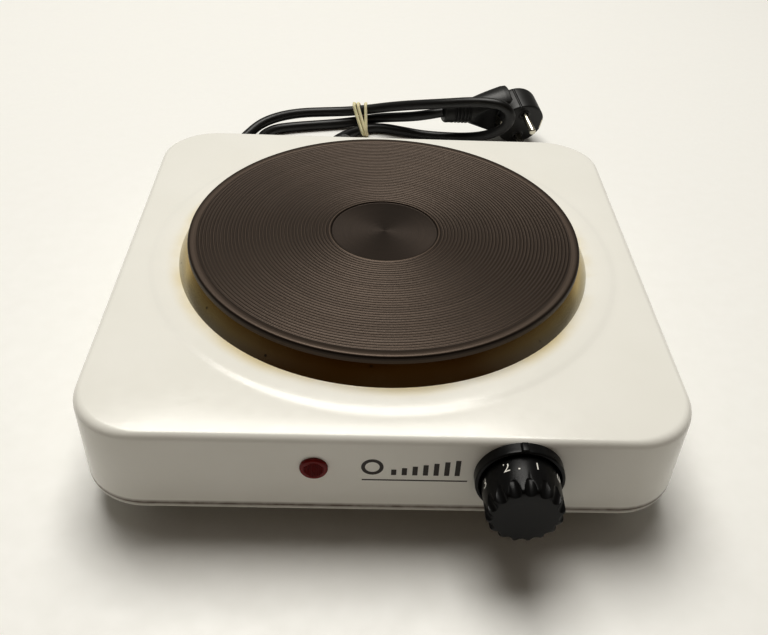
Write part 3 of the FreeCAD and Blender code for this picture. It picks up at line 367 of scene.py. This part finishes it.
FINISHES = {
    "enamelled_steel": vitreous_enamel(),
    "cast_iron": turned_cast_iron(),
    "stainless": heated_stainless(),
    # Pressed steel with a dull zinc coat: spangled and grey.
    "zinc_steel": metal("zinc_plated_steel_pressed", "A9ABA8", "7E807C", 0.38, 0.6),
    # Zinc-plated screws and nuts: bright, with a warm tarnish.
    "fastener_steel": metal("zinc_plated_steel_screws", "B4B2A6", "8B8778", 0.3, 0.4),
    # Hardened and blued spring steel: dark blue-grey with a sheen.
    "spring_steel": metal("spring_steel_blued", "6C6E74", "4A4B50", 0.3, 0.4),
    # Heating wire with a matt brown oxide skin.
    "resistance_wire": metal("nickel_chromium_wire_oxidised", "6A625A", "4A423B", 0.55, 0.5),
    # Turned pins with bright nickel plate: pale silver, clear highlights.
    "pin_nickel": metal("nickel_plated_brass_turned", "D9D5C9", "B9B3A2", 0.22, 0.5),
    # Stamped brass strip: yellow, brown where it has tarnished.
    "contact_brass": metal("rolled_brass_stamped", "C9A75A", "A0803E", 0.3, 0.5),
    # Pressed ceramic powder: pale, matt and chalky.
    "magnesia": moulded("magnesia_pressed_powder", "CFC9BB", "B9B2A2", 0.9, 0.6, 0.12),
    # Fired ceramic: cream and satin.
    "steatite": moulded("steatite_fired_ceramic", "E4DECF", "D3CBB8", 0.55, 0.5, 0.05),
    # Hard moulded resin: nearly black, with soft dim reflections.
    "black_phenolic": moulded(
        "black_phenolic_compression_moulded", "070707", "0E0D0D", 0.3, 0.7, 0.02, Specular_IOR_Level=0.25
    ),
    # Moulded lens: deep red and glossy.
    "lamp_red": moulded(
        "red_polycarbonate_lens_moulded", "8A1812", "64100C", 0.2, 0.8, 0.02, Specular_IOR_Level=0.3
    ),
    # Thin blown glass: clear with sharp highlights.
    "lamp_glass": moulded(
        "lamp_glass_blown", "D8DDD8", "C8CEC8", 0.06, 1.0, 0.01, Transmission_Weight=0.85
    ),
    # Moulded nylon: milky white and satin.
    "lamp_white": moulded("white_nylon_moulded", "E6E4DC", "D8D5CA", 0.5, 0.5, 0.03),
    # Moulded rubber: nearly black and matt.
    "foot_rubber": moulded("black_nitrile_rubber_moulded", "1A1A1A", "26241F", 0.72, 0.5, 0.06),
    # Extruded sheath: black, with a long soft highlight.
    "lead_pvc": moulded("black_pvc_extruded", "0D0D0D", "191816", 0.38, 0.9, 0.03),
    # Soft moulded plug: black and a little duller than the lead.
    "plug_pvc": moulded("black_pvc_moulded", "0E0E0E", "1B1A18", 0.42, 0.5, 0.04),
    # Cut rubber: pale cream, letting a little light through.
    "band_rubber": moulded(
        "natural_rubber_band_cut", "F2E8C8", "E4D8AE", 0.55, 0.6, 0.06, Subsurface_Weight=0.1
    ),
    # Extruded wire insulation: satin, in the four wiring colours.
    "wire_brown": moulded("brown_pvc_wire_extruded", "5A3420", "4A2A18", 0.45, 0.6, 0.02),
    "wire_blue": moulded("blue_pvc_wire_extruded", "2C5AA0", "244C8A", 0.45, 0.6, 0.02),
    "wire_green": moulded("green_pvc_wire_extruded", "3E8A3A", "B7B93A", 0.45, 0.6, 0.02),
    "wire_white": moulded("white_pvc_wire_extruded", "DAD8D0", "C9C6BB", 0.45, 0.6, 0.02),
}
# The base pan has the housing's enamel.
FINISHES["enamelled_base"] = FINISHES["enamelled_steel"]
# Printed figures and marks: thick matt ink, a little broken.
WHITE_INK = moulded("white_screen_ink", "F2F1EC", "D8D6CE", 0.5, 0.3, 0.02)
BROWN_INK = moulded("brown_black_screen_ink", "2E2621", "3A322B", 0.5, 0.3, 0.02)


# ---------------------------------------------------------------- modelling


def new_piece(name):
    """Name the primitive just added and put its place into its mesh, so that edits use real places."""
    piece = bpy.context.object
    piece.name = name
    piece.data.name = name
    bpy.ops.object.transform_apply(location=True, rotation=True, scale=True)
    return piece


def pick(piece, kind, test):
    """In edit mode, select just the vertices, edges or faces that pass a test."""
    bpy.ops.mesh.select_mode(type=kind)
    bpy.ops.mesh.select_all(action="DESELECT")
    mesh = bmesh.from_edit_mesh(piece.data)
    items = {"VERT": mesh.verts, "EDGE": mesh.edges, "FACE": mesh.faces}[kind]
    for item in items:
        if test(item):
            item.select_set(True)
    bmesh.update_edit_mesh(piece.data)


def edge_middle(edge):
    """Where the middle of an edge is."""
    return (edge.verts[0].co + edge.verts[1].co) / 2


def turned(name, outline, middle, axis, steps=96):
    """Spin an outline of (radius, height) points about an axis, as on a lathe."""
    bpy.ops.object.select_all(action="DESELECT")
    spots = [middle + (Vector((1, 0, 0)) * radius + axis * height) * MM for radius, height in outline]
    bpy.ops.mesh.primitive_plane_add(size=MM, location=spots[0])
    piece = new_piece(name)
    bpy.ops.object.mode_set(mode="EDIT")
    bpy.ops.mesh.select_mode(type="VERT")
    bpy.ops.mesh.merge(type="CENTER")
    for before, after in zip(spots, spots[1:]):
        bpy.ops.mesh.extrude_vertices_move(TRANSFORM_OT_translate={"value": after - before})
    bpy.ops.mesh.select_all(action="SELECT")
    bpy.ops.mesh.spin(steps=steps, angle=math.tau, center=middle, axis=axis)
    close_up()
    return piece


def close_up():
    """Merge doubled points, turn the faces outwards and leave edit mode."""
    bpy.ops.mesh.select_all(action="SELECT")
    bpy.ops.mesh.remove_doubles(threshold=0.002 * MM)
    bpy.ops.mesh.normals_make_consistent(inside=False)
    bpy.ops.object.mode_set(mode="OBJECT")


def make_active(piece):
    """Select one object only."""
    bpy.ops.object.select_all(action="DESELECT")
    piece.select_set(True)
    bpy.context.view_layer.objects.active = piece


def apply_modifier(piece, kind, **settings):
    """Add a modifier and apply it at once."""
    make_active(piece)
    modifier = piece.modifiers.new(kind.lower(), kind)
    for name, setting in settings.items():
        setattr(modifier, name, setting)
    bpy.ops.object.modifier_apply(modifier=modifier.name)


def cut_away(piece, cutter):
    """Take one mesh out of another."""
    apply_modifier(piece, "BOOLEAN", object=cutter, operation="DIFFERENCE", solver="EXACT")
    bpy.data.objects.remove(cutter)


def join(piece, *others):
    """Make several meshes one piece."""
    bpy.ops.object.select_all(action="DESELECT")
    for other in (piece, *others):
        other.select_set(True)
    bpy.context.view_layer.objects.active = piece
    bpy.ops.object.join()


def finish_piece(piece, body, slot, nodes=(), material=None, crease=35):
    """Shade a piece, give it its finish, tie it to its body and hide the CAD nodes that it stands for."""
    make_active(piece)
    bpy.ops.object.shade_smooth_by_angle(angle=math.radians(crease))
    piece.data.materials.clear()
    piece.data.materials.append(material or FINISHES[slot])
    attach(piece, body)
    if nodes:
        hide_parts(*nodes)


def rounded_steps(corner, start, end, count):
    """Points of a round from one outline point to another, bulging towards the corner between them."""
    shares = [step / count for step in range(count + 1)]
    return [
        tuple(
            first * (1 - share) ** 2 + 2 * pull * share * (1 - share) + last * share**2
            for first, pull, last in zip(start, corner, end)
        )
        for share in shares
    ]


def make_hotplate():
    """The casting: a smooth middle recess, fine turned grooves, a rounded rim and the stepped underside."""
    top = PLATE_TOP / MM
    recess = 25.8
    recess_floor = top - 0.8
    outline = [(0, recess_floor), (recess - 0.8, recess_floor)]
    lip = (recess + 0.1, top - 0.2)
    outline += rounded_steps((recess, recess_floor), (recess - 0.4, recess_floor), lip, 3)
    outline += [(recess + 0.5, top)]
    groove = 27.0
    last_groove = 89
    pitch = 1.66
    depth = 0.4
    while groove < last_groove:
        outline += [
            (groove, top),
            (groove + 0.25 * pitch, top - 0.5 * depth),
            (groove + 0.5 * pitch, top - depth),
            (groove + 0.75 * pitch, top - 0.5 * depth),
        ]
        groove += pitch
    outline += [(groove, top)]
    rim = 94
    edge = 1.6
    outline += rounded_steps((rim, top), (rim - edge, top), (rim, top - edge), 6)
    # The underside: a ledge, the skirt, the channel for the coils and the boss with its stud hole.
    ledge = top - 3.6
    skirt_foot = top - 14.7
    channel = top - 8.2
    hole_end = top - 5.2
    skirt = 88
    skirt_inside = 84.5
    boss = 26
    stud_hole = 3
    outline += [(rim, ledge), (skirt, ledge), (skirt, skirt_foot), (skirt_inside, skirt_foot)]
    outline += [(skirt_inside, channel), (boss, channel), (boss, skirt_foot), (stud_hole, skirt_foot)]
    outline += [(stud_hole, hole_end), (0, hole_end)]
    plate = turned("hotplate_casting", outline, Vector((PLATE.x, PLATE.y, 0)), UP, steps=160)
    finish_piece(plate, "root", "cast_iron", ["hotplate"], crease=60)


def make_trim_ring():
    """Spun ring: a flange under the plate's rim, a rolled shoulder and a cone down to the housing."""
    top = RING_TOP / MM
    foot = HOUSING_TOP / MM
    gauge = 0.6
    bore = 88.6
    rim = 98.9
    # A flat flange, a rolled shoulder, the cone and a small flare at its foot.
    outside = [(bore, top), (91.2, top)]
    outside += rounded_steps((92.4, top), (91.6, top), (93.0, top - 0.9), 4)
    outside += [(94.8, top - 3.2), (96.6, top - 5.4)]
    outside += rounded_steps((98.6, foot + 0.5), (97.8, foot + 1.6), (rim, foot), 4)
    inside = [(radius - gauge * 0.8, height - gauge * 0.6) for radius, height in outside[1:-1]]
    outline = outside + [(98.2, foot)] + inside[::-1] + [(bore, top - gauge), (bore, top)]
    ring = turned("trim_ring_spun", outline, Vector((PLATE.x, PLATE.y, 0)), UP, steps=160)
    finish_piece(ring, "root", "stainless", ["trim_ring"], crease=50)


def make_housing():
    """Pressed tray: a raised round field about the plate, rounded corners and edge, and pierced walls."""
    opening = 91 * MM
    corner = 28 * MM
    edge_radius = 3.5 * MM
    gauge = 0.8 * MM
    field_step = 0.5 * MM
    low = HOUSING_TOP - 0.8 * field_step
    around = 128
    middle = Vector((PLATE.x, PLATE.y, HOUSING_TOP))
    bpy.ops.object.select_all(action="DESELECT")
    bpy.ops.mesh.primitive_circle_add(vertices=around, radius=opening, location=middle)
    housing = new_piece("pressed_housing")
    bpy.ops.object.mode_set(mode="EDIT")
    bpy.ops.mesh.select_all(action="SELECT")
    radius = opening
    # Steps outwards as (radius, drop): the flat field, then a soft step down round it.
    field_steps = ((106, 0.0), (110, 0.0), (111.2, 0.12), (112.8, 0.38), (114, 0.5), (116, 0.5))
    for next_radius, drop in field_steps:
        level = HOUSING_TOP - drop * MM
        bpy.ops.mesh.extrude_edges_move()
        scale = next_radius * MM / radius
        bpy.ops.transform.resize(value=(scale, scale, 1), center_override=middle)
        current = bmesh.from_edit_mesh(housing.data)
        height = next(vert.co.z for vert in current.verts if vert.select)
        bpy.ops.transform.translate(value=(0, 0, level - height))
        radius = next_radius * MM
    # The square outline: corners rounded, sides divided until both loops have the same number of points.
    # It is made well below the field, so that the bridge finds which way round both loops go, then raised.
    sunk = 20 * MM
    outline_middle = Vector((HOUSING.x, HOUSING.y, HOUSING_TOP - sunk))
    bpy.ops.mesh.primitive_plane_add(size=1, location=outline_middle)
    bpy.ops.transform.resize(value=(HOUSING_WIDTH, HOUSING_DEPTH, 1), center_override=outline_middle)
    segments = 12
    bpy.ops.mesh.bevel(offset=corner, segments=segments, affect="VERTICES")
    long_edge = 100 * MM
    pick(housing, "EDGE", lambda edge: edge.calc_length() > long_edge)
    bpy.ops.mesh.subdivide(number_cuts=around // 4 - segments - 1)
    pick(housing, "FACE", lambda face: len(face.verts) > 4)
    bpy.ops.mesh.delete(type="ONLY_FACE")
    pick(housing, "EDGE", lambda edge: len(edge.link_faces) < 2 and edge_middle(edge).z < low)
    bpy.ops.mesh.bridge_edge_loops()
    pick(housing, "VERT", lambda vert: vert.co.z < outline_middle.z + 1 * MM)
    bpy.ops.transform.translate(value=(0, 0, sunk - field_step))
    pick(housing, "EDGE", lambda edge: len(edge.link_faces) == 1 and edge_middle(edge).z < low)
    drop = SEAM_HEIGHT - (HOUSING_TOP - field_step)
    bpy.ops.mesh.extrude_edges_move(TRANSFORM_OT_translate={"value": (0, 0, drop)})
    bpy.ops.mesh.select_all(action="SELECT")
    bpy.ops.mesh.normals_make_consistent(inside=False)
    pick(
        housing,
        "EDGE",
        lambda edge: len(edge.link_faces) == 2
        and edge_middle(edge).z < low
        and edge.link_faces[0].normal.angle(edge.link_faces[1].normal) > 1,
    )
    bpy.ops.mesh.bevel(offset=edge_radius, segments=6, affect="EDGES")
    bpy.ops.object.mode_set(mode="OBJECT")
    apply_modifier(housing, "SOLIDIFY", thickness=gauge, offset=-1)
    rear_face = FRONT_FACE + HOUSING_DEPTH
    screw_offset = 12 * MM
    hole_depth = 6 * MM
    # Holes for the spindle, its two fixing screws, the lamp and, at the rear, the lead's bush.
    for x, y, z, hole_radius in (
        (KNOB.x, FRONT_FACE, KNOB.z, 4.0),
        (KNOB.x - screw_offset, FRONT_FACE, KNOB.z, 1.6),
        (KNOB.x + screw_offset, FRONT_FACE, KNOB.z, 1.6),
        (LAMP.x, FRONT_FACE, LAMP.z, 4.6),
        (BUSH.x, rear_face, BUSH.z, 6.0),
    ):
        bpy.ops.object.select_all(action="DESELECT")
        bpy.ops.mesh.primitive_cylinder_add(
            vertices=32,
            radius=hole_radius * MM,
            depth=hole_depth,
            location=(x, y, z),
            rotation=(QUARTER_TURN, 0, 0),
        )
        cut_away(housing, bpy.context.object)
    finish_piece(housing, "root", "enamelled_steel", ["housing_shell"], crease=30)


def make_bezel():
    """Fixed collar with a soft outer edge and a small raised arrow at its top."""
    outer = 17.75
    inner = 16.2
    web_inner = 15
    web = 0.8
    depth = 5
    outline = [(web_inner, 0), (outer, 0), (outer, depth - 1.4)]
    outline += rounded_steps((outer, depth), (outer, depth - 1.0), (outer - 0.85, depth), 4)
    outline += [(inner + 0.3, depth), (inner, depth - 0.3), (inner, web), (web_inner, web), (web_inner, 0)]
    start = Vector((KNOB.x, FRONT_FACE, KNOB.z))
    collar = turned("bezel_collar", outline, start, FORWARD, steps=96)
    bpy.ops.object.select_all(action="DESELECT")
    arrow_middle = start + Vector((0, -depth / 2, outer)) * MM
    arrow_size = Vector((4.6, depth, 1.5)) * MM
    bpy.ops.mesh.primitive_cube_add(size=1, location=arrow_middle, scale=arrow_size)
    arrow = new_piece("arrow")
    bpy.ops.object.mode_set(mode="EDIT")
    pick(arrow, "VERT", lambda vert: vert.co.z > arrow_middle.z)
    bpy.ops.transform.resize(value=(0.5, 0.85, 1), center_override=arrow_middle)
    bpy.ops.mesh.select_all(action="SELECT")
    bpy.ops.mesh.bevel(offset=0.3 * MM, segments=3, affect="EDGES")
    bpy.ops.object.mode_set(mode="OBJECT")
    join(collar, arrow)
    finish_piece(collar, "root", "black_phenolic", ["knob_bezel"], crease=40)


def make_knob():
    """Moulded knob: a plain skirt, sixteen scoops that deepen towards a rounded and slightly dished end."""
    reach = 22.0
    gap = 2.3
    inside = 13.7
    end_gauge = 2.6
    grip = 15.1
    start = Vector((KNOB.x, FRONT_FACE, KNOB.z))
    outline = [(inside, gap), (15.3, gap), (15.6, gap + 0.3), (15.3, 11), (15.15, 16)]
    outline += rounded_steps((15.0, reach), (grip, reach - 2.4), (12.4, reach), 6)
    outline += [(9, reach - 0.15), (0, reach - 0.4)]
    outline += [(0, reach - end_gauge), (10.5, reach - end_gauge), (12.2, reach - 5), (inside, gap)]
    knob = turned("fluted_knob", outline, start, FORWARD, steps=128)
    # Each scoop is a ball drawn out into a slanting rod, so that it deepens towards the end.
    flute_radius = 2.6
    flute_start = 16.8
    first_depth = 0.5
    slant = Vector((-5, -12, 0)) * MM
    flute_place = start + Vector((grip + flute_radius - first_depth, -flute_start, 0)) * MM
    bpy.ops.object.select_all(action="DESELECT")
    bpy.ops.mesh.primitive_uv_sphere_add(
        segments=20,
        ring_count=12,
        radius=flute_radius * MM,
        location=flute_place,
        rotation=(QUARTER_TURN, 0, 0),
    )
    cutter = new_piece("flute_cutter")
    bpy.ops.object.mode_set(mode="EDIT")
    pick(cutter, "FACE", lambda face: face.calc_center_median().y < flute_place.y)
    bpy.ops.mesh.extrude_region_move(TRANSFORM_OT_translate={"value": slant})
    bpy.ops.mesh.select_all(action="SELECT")
    flutes = 16
    sweep = math.tau * (flutes - 1) / flutes
    bpy.ops.mesh.spin(steps=flutes - 1, dupli=True, angle=sweep, center=start, axis=FORWARD)
    bpy.ops.mesh.select_all(action="SELECT")
    bpy.ops.mesh.normals_make_consistent(inside=False)
    bpy.ops.object.mode_set(mode="OBJECT")
    cut_away(knob, cutter)
    apply_modifier(
        knob, "BEVEL", width=0.25 * MM, segments=2, limit_method="ANGLE", angle_limit=math.radians(35)
    )
    hub_bore = 3
    hub_outer = 5.5
    hub_start = 3.8
    hub_outline = [(hub_bore, hub_start), (hub_outer, hub_start), (hub_outer, reach - 2), (0, reach - 2)]
    hub_outline += [(0, reach - 4), (hub_bore, reach - 4), (hub_bore, hub_start)]
    hub = turned("knob_hub", hub_outline, start, FORWARD, steps=48)
    join(knob, hub)
    finish_piece(knob, "knob_body", "black_phenolic", ["knob"], crease=40)


def make_figures():
    """White figures round the knob's skirt, their tops towards the wall, and a tick between 1 and 2."""
    first = -15.0
    step = 44.6
    digit_size = 6.2
    dot_size = 7.0
    from_wall = 9.0
    seat_radius = 15.36
    marks = [(str(number + 1), first + number * step, digit_size) for number in range(6)]
    marks += [("0", first - step, digit_size), (".", first + 0.6 * step, dot_size)]
    for text, angle, size in marks:
        bpy.ops.object.select_all(action="DESELECT")
        bpy.ops.object.text_add()
        figure = bpy.context.object
        figure.data.body = text
        figure.data.size = size * MM
        figure.data.extrude = 0.06 * MM
        figure.data.offset = -0.02 * MM
        figure.data.align_x = "CENTER"
        figure.data.align_y = "CENTER"
        bpy.ops.object.convert(target="MESH")
        figure.name = f"figure_{text}" if text != "." else "tick_mark"
        turn = Matrix.Rotation(math.radians(-angle), 4, "Y")
        seat = Matrix.Translation((KNOB.x, FRONT_FACE - from_wall * MM, KNOB.z))
        figure.matrix_world = seat @ turn @ Matrix.Translation((0, 0, seat_radius * MM))
        bpy.ops.object.transform_apply(location=True, rotation=True, scale=True)
        finish_piece(figure, "knob_body", "black_phenolic", material=WHITE_INK)


def make_lens():
    """Round red lens: a domed shoulder and a flat face moulded with a fine grid of points."""
    start = Vector((LAMP.x, FRONT_FACE, LAMP.z))
    radius = 5.6
    face = 1.45
    face_radius = 4.1
    neck = 4.4
    neck_inside = 3.4
    back = -8.8
    outline = [(0, face), (face_radius, face)]
    outline += rounded_steps((radius, 1.4), (4.2, 1.5), (radius, 0.3), 6)
    outline += [(radius, 0), (neck, 0), (neck, back), (neck_inside, back), (neck_inside, -1), (0, -1)]
    lens = turned("lamp_lens_moulded", outline, start, FORWARD, steps=64)
    bpy.ops.object.select_all(action="DESELECT")
    cells = 11
    bpy.ops.mesh.primitive_grid_add(
        x_subdivisions=cells,
        y_subdivisions=cells,
        size=7.7 * MM,
        location=start + Vector((0, 0.01 - face, 0)) * MM,
        rotation=(QUARTER_TURN, 0, 0),
    )
    points = new_piece("lens_points")
    bpy.ops.object.mode_set(mode="EDIT")
    pick(points, "FACE", lambda face: (face.calc_center_median() - start).length > face_radius * MM)
    bpy.ops.mesh.delete(type="FACE")
    bpy.ops.mesh.select_all(action="SELECT")
    bpy.ops.mesh.inset(thickness=0.2 * MM, depth=0.28 * MM, use_individual=True)
    bpy.ops.object.mode_set(mode="OBJECT")
    join(lens, points)
    finish_piece(lens, "root", "lamp_red", ["lamp_lens"], crease=25)


def make_printed_mark():
    """A plain ring, bars that rise to the right and a thin line, printed on the front wall."""
    middle = Vector((-5 * MM, FRONT_FACE - 0.02 * MM, 42 * MM))
    inner = 2.9
    outer = 4.4
    half = 0.05
    outline = [(inner, -half), (inner, half), (outer, half), (outer, -half), (inner, -half)]
    mark = turned("printed_mark", outline, middle, FORWARD, steps=48)
    # Bars and the line under them, as place across, place up, width and height.
    bars = []
    count = 7
    tallest = 8.8
    for step in range(count):
        height = tallest * (0.35 + 0.65 * step / (count - 1))
        bars.append((8.5 + 4.2 * step, (height - tallest) / 2, 2.0, height))
    bars.append((17, -7.5, 42, 0.6))
    pieces = []
    for x, z, width, height in bars:
        bpy.ops.object.select_all(action="DESELECT")
        place = middle + Vector((x, 0, z)) * MM
        size = Vector((width, 2 * half, height)) * MM
        bpy.ops.mesh.primitive_cube_add(size=1, location=place, scale=size)
        pieces.append(new_piece("bar"))
    join(mark, *pieces)
    finish_piece(mark, "root", "enamelled_steel", material=BROWN_INK)


# ---------------------------------------------------------------- lead, band and plug

# The lead's route from the bush to the plug, given point by point: millimetres from the housing's middle,
# with heights above the table.
LEAD_ROUTE = [
    (-22, 154, 31), (-22, 166, 31), (-23, 181, 26), (-27, 196, 16), (-32, 210, 7), (-30, 222, 3.5),
    (-22, 232, 3.5), (-11, 241, 3.5), (3, 243.5, 3.5), (17, 239, 3.5), (32, 233.5, 3.5), (49, 231.5, 3.5),
    (65, 229.5, 4.5), (77, 223, 9.5), (86, 216, 17), (91.5, 211, 25.5), (92, 208.5, 34), (86, 208.5, 40.5),
    (76, 210.5, 41.5), (63, 214.5, 39.5), (49, 219, 36), (35, 226, 31.5), (21, 235, 26), (7, 243, 20.5),
    (-7, 248.5, 15.5), (-22, 251.5, 12), (-39, 252.5, 10.5), (-57, 250, 10.5), (-73, 243, 10.5),
    (-86, 233.5, 9), (-95, 221, 5.5), (-102, 206, 3.5), (-106, 189, 3.5), (-103, 171, 3.5), (-89, 158, 3.5),
    (-70, 158, 3.5), (-57, 171, 3.5), (-59, 188, 3.5), (-71, 200, 3.5), (-82, 212, 3.5), (-85, 224, 3.5),
    (-77, 236, 3.5), (-62, 241, 3.5), (-46, 244.5, 3.5), (-30, 248, 3.5), (-14, 250.5, 5),
    (1, 249.5, 8.5), (13, 243, 12.5), (24, 235.5, 17), (34.5, 228.5, 22), (46.1, 228.5, 24.7),
]
LEAD_RADIUS = 3.5
# The plug's stance: the way its pins point, the way its relief points, and the middle of its face.
PIN_WAY = Vector((0.233, -0.936, -0.263))
RELIEF_WAY = Vector((-0.966, -0.254, 0.05))
PLUG_FACE = Vector((103.2, 226.5, 17.5))


def from_middle(x, y, z):
    """A place given in millimetres from the housing's middle, at a height above the table."""
    return Vector((HOUSING.x + x * MM, HOUSING.y + y * MM, z * MM))


def make_lead():
    """The free lead: one smooth line from the bush, through the hank, into the plug's strain relief."""
    line = bpy.data.curves.new("mains_lead", "CURVE")
    line.dimensions = "3D"
    spline = line.splines.new("NURBS")
    spline.points.add(len(LEAD_ROUTE) - 1)
    for point, spot in zip(spline.points, LEAD_ROUTE):
        point.co = (*from_middle(*spot), 1)
    spline.order_u = 3
    spline.use_endpoint_u = True
    spline.resolution_u = 10
    line.bevel_depth = LEAD_RADIUS * MM
    line.bevel_resolution = 5
    line.use_fill_caps = True
    lead = bpy.data.objects.new("mains_lead", line)
    bpy.context.scene.collection.objects.link(lead)
    line.materials.append(FINISHES["lead_pvc"])
    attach(lead, "root")
    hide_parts("cord_lead", "cord_hank")
    return lead


def make_band():
    """A rubber band that goes three times round the lead's runs, its turns slanting a little."""
    # The runs inside the band, as distance back and height; then each turn's place at its top and bottom.
    runs = [(239.6, 3.5), (249.5, 14.3), (250.0, 5.3)]
    slants = ((-18, -10), (-15, -7.5), (-9.5, -8.5))
    bundle_height = 18
    strand = 1.2
    clear = LEAD_RADIUS + strand
    strands = []
    for index, (top_x, bottom_x) in enumerate(slants):
        line = bpy.data.curves.new(f"band_strand_{index}", "CURVE")
        line.dimensions = "3D"
        spline = line.splines.new("NURBS")
        around = 24
        spline.points.add(around - 1)
        for step, point in enumerate(spline.points):
            angle = math.tau * step / around
            way = (math.cos(angle), math.sin(angle))
            y, z = max(runs, key=lambda run: run[0] * way[0] + run[1] * way[1])
            height = max(z + clear * way[1], strand)
            share = min(height / bundle_height, 1)
            x = bottom_x + (top_x - bottom_x) * share
            point.co = (*from_middle(x, y + clear * way[0], height), 1)
        spline.order_u = 4
        spline.use_cyclic_u = True
        line.bevel_depth = strand * MM
        line.bevel_resolution = 3
        turn = bpy.data.objects.new(f"band_strand_{index}", line)
        bpy.context.scene.collection.objects.link(turn)
        make_active(turn)
        bpy.ops.object.convert(target="MESH")
        strands.append(turn)
    join(strands[0], *strands[1:])
    strands[0].name = "rubber_band_turns"
    finish_piece(strands[0], "root", "band_rubber", ["rubber_band"])
    return strands[0]


def trim_sides(piece, half_width):
    """Cut two flats on a turned piece, one on each side along its own X."""
    make_active(piece)
    bpy.ops.object.mode_set(mode="EDIT")
    for side in (-1, 1):
        bpy.ops.mesh.select_all(action="SELECT")
        bpy.ops.mesh.bisect(
            plane_co=(side * half_width * MM, 0, 0), plane_no=(side, 0, 0), use_fill=True, clear_outer=True
        )
    bpy.ops.object.mode_set(mode="OBJECT")


def make_plug():
    """Moulded plug: a flat-sided drum, a wide flat neck and a ribbed relief, melted into one form."""
    # Its own axes: Z along the pins, X along the lead, the pins' line along Y, and the face at the origin.
    own = Vector()
    depth = 22
    girth = 17.2
    flat = 16.2
    lead_depth = 17
    neck_half = 9
    pin_pitch = 19
    drum_outline = [(0, 0), (girth - 1.8, 0)]
    drum_outline += rounded_steps((girth, 0), (girth - 1.4, 0), (girth, -1.4), 4)
    drum_outline += rounded_steps((girth, -depth), (girth, -depth + 4), (girth - 4, -depth), 5)
    drum_outline += [(0, -depth)]
    drum = turned("plug_moulding", drum_outline, own, UP, steps=96)
    trim_sides(drum, flat)
    # Slots for the earth contacts in the flats, and the parting groove down both round sides.
    for low, high in (
        ((flat - 1, -4, -14), (20, 4, 1)),
        ((-20, -4, -14), (1 - flat, 4, 1)),
        ((3.4, 16.0, -40), (4.8, 20, 10)),
        ((3.4, -20, -40), (4.8, -16.0, 10)),
    ):
        size = [(b - a) * MM for a, b in zip(low, high)]
        place = [(a + b) / 2 * MM for a, b in zip(low, high)]
        bpy.ops.object.select_all(action="DESELECT")
        bpy.ops.mesh.primitive_cube_add(size=1, location=place, scale=size)
        cut_away(drum, bpy.context.object)
    ribs = [(0, 8), (17.5, 8), (17, 12), (9.4, 33), (8.4, 35.5)]
    rib_start = 36
    rib_pitch = 2.6
    for rib in range(5):
        start = rib_start + rib * rib_pitch
        crest = 8.4 - 0.18 * rib
        valley = crest - 1.2
        ribs += [(valley, start), (valley, start + 1.0), (crest, start + 1.2), (crest, start + 2.5)]
    ribs += [(7.4, 50), (7.4, 53.6), (6.6, 55), (0, 55)]
    relief = turned("relief", ribs, own, UP, steps=64)
    trim_sides(relief, neck_half)
    sideways = Matrix.Rotation(QUARTER_TURN, 4, "Y")
    relief.data.transform(Matrix.Translation((0, 0, -lead_depth * MM)) @ sideways)
    collars = []
    for side in (-1, 1):
        middle = Vector((0, side * pin_pitch / 2 * MM, 0))
        outline = [(2.6, -1), (2.6, 0.9), (3.7, 0.9), (4.1, -1), (2.6, -1)]
        collars.append(turned("pin_collar", outline, middle, UP, steps=32))
    join(drum, relief, *collars)
    apply_modifier(drum, "REMESH", mode="VOXEL", voxel_size=0.42 * MM)
    apply_modifier(drum, "SMOOTH", factor=0.5, iterations=2)
    z_axis = PIN_WAY.normalized()
    y_axis = z_axis.cross(RELIEF_WAY).normalized()
    x_axis = y_axis.cross(z_axis)
    stance = Matrix((x_axis, y_axis, z_axis)).transposed().to_4x4()
    drum.data.transform(Matrix.Translation(from_middle(*PLUG_FACE)) @ stance)
    finish_piece(drum, "root", "plug_pvc", ["plug_body"], crease=60)
    return drum


# ---------------------------------------------------------------- scene

# Plain tones, with the middle ones a little deeper.
bpy.context.scene.view_settings.view_transform = "Standard"
bpy.context.scene.view_settings.gamma = 0.82
add_camera()

lead = make_lead()
band = make_band()
plug = make_plug()

make_housing()
make_hotplate()
make_trim_ring()
make_bezel()
make_knob()
make_figures()
make_lens()
make_printed_mark()

# Every CAD node that still shows takes its slot's finish.
for part in frame["record"]["subparts"]:
    node = frame["nodes"][part["node"]]
    node.data.materials.clear()
    node.data.materials.append(FINISHES[part["material_slot"]])

add_floor()
add_room()
add_light("overhead", size=1.5, power=53, place=(-0.15, 0.75, 2.2), aim=(0, 0, 0), colour="FFFDF8")
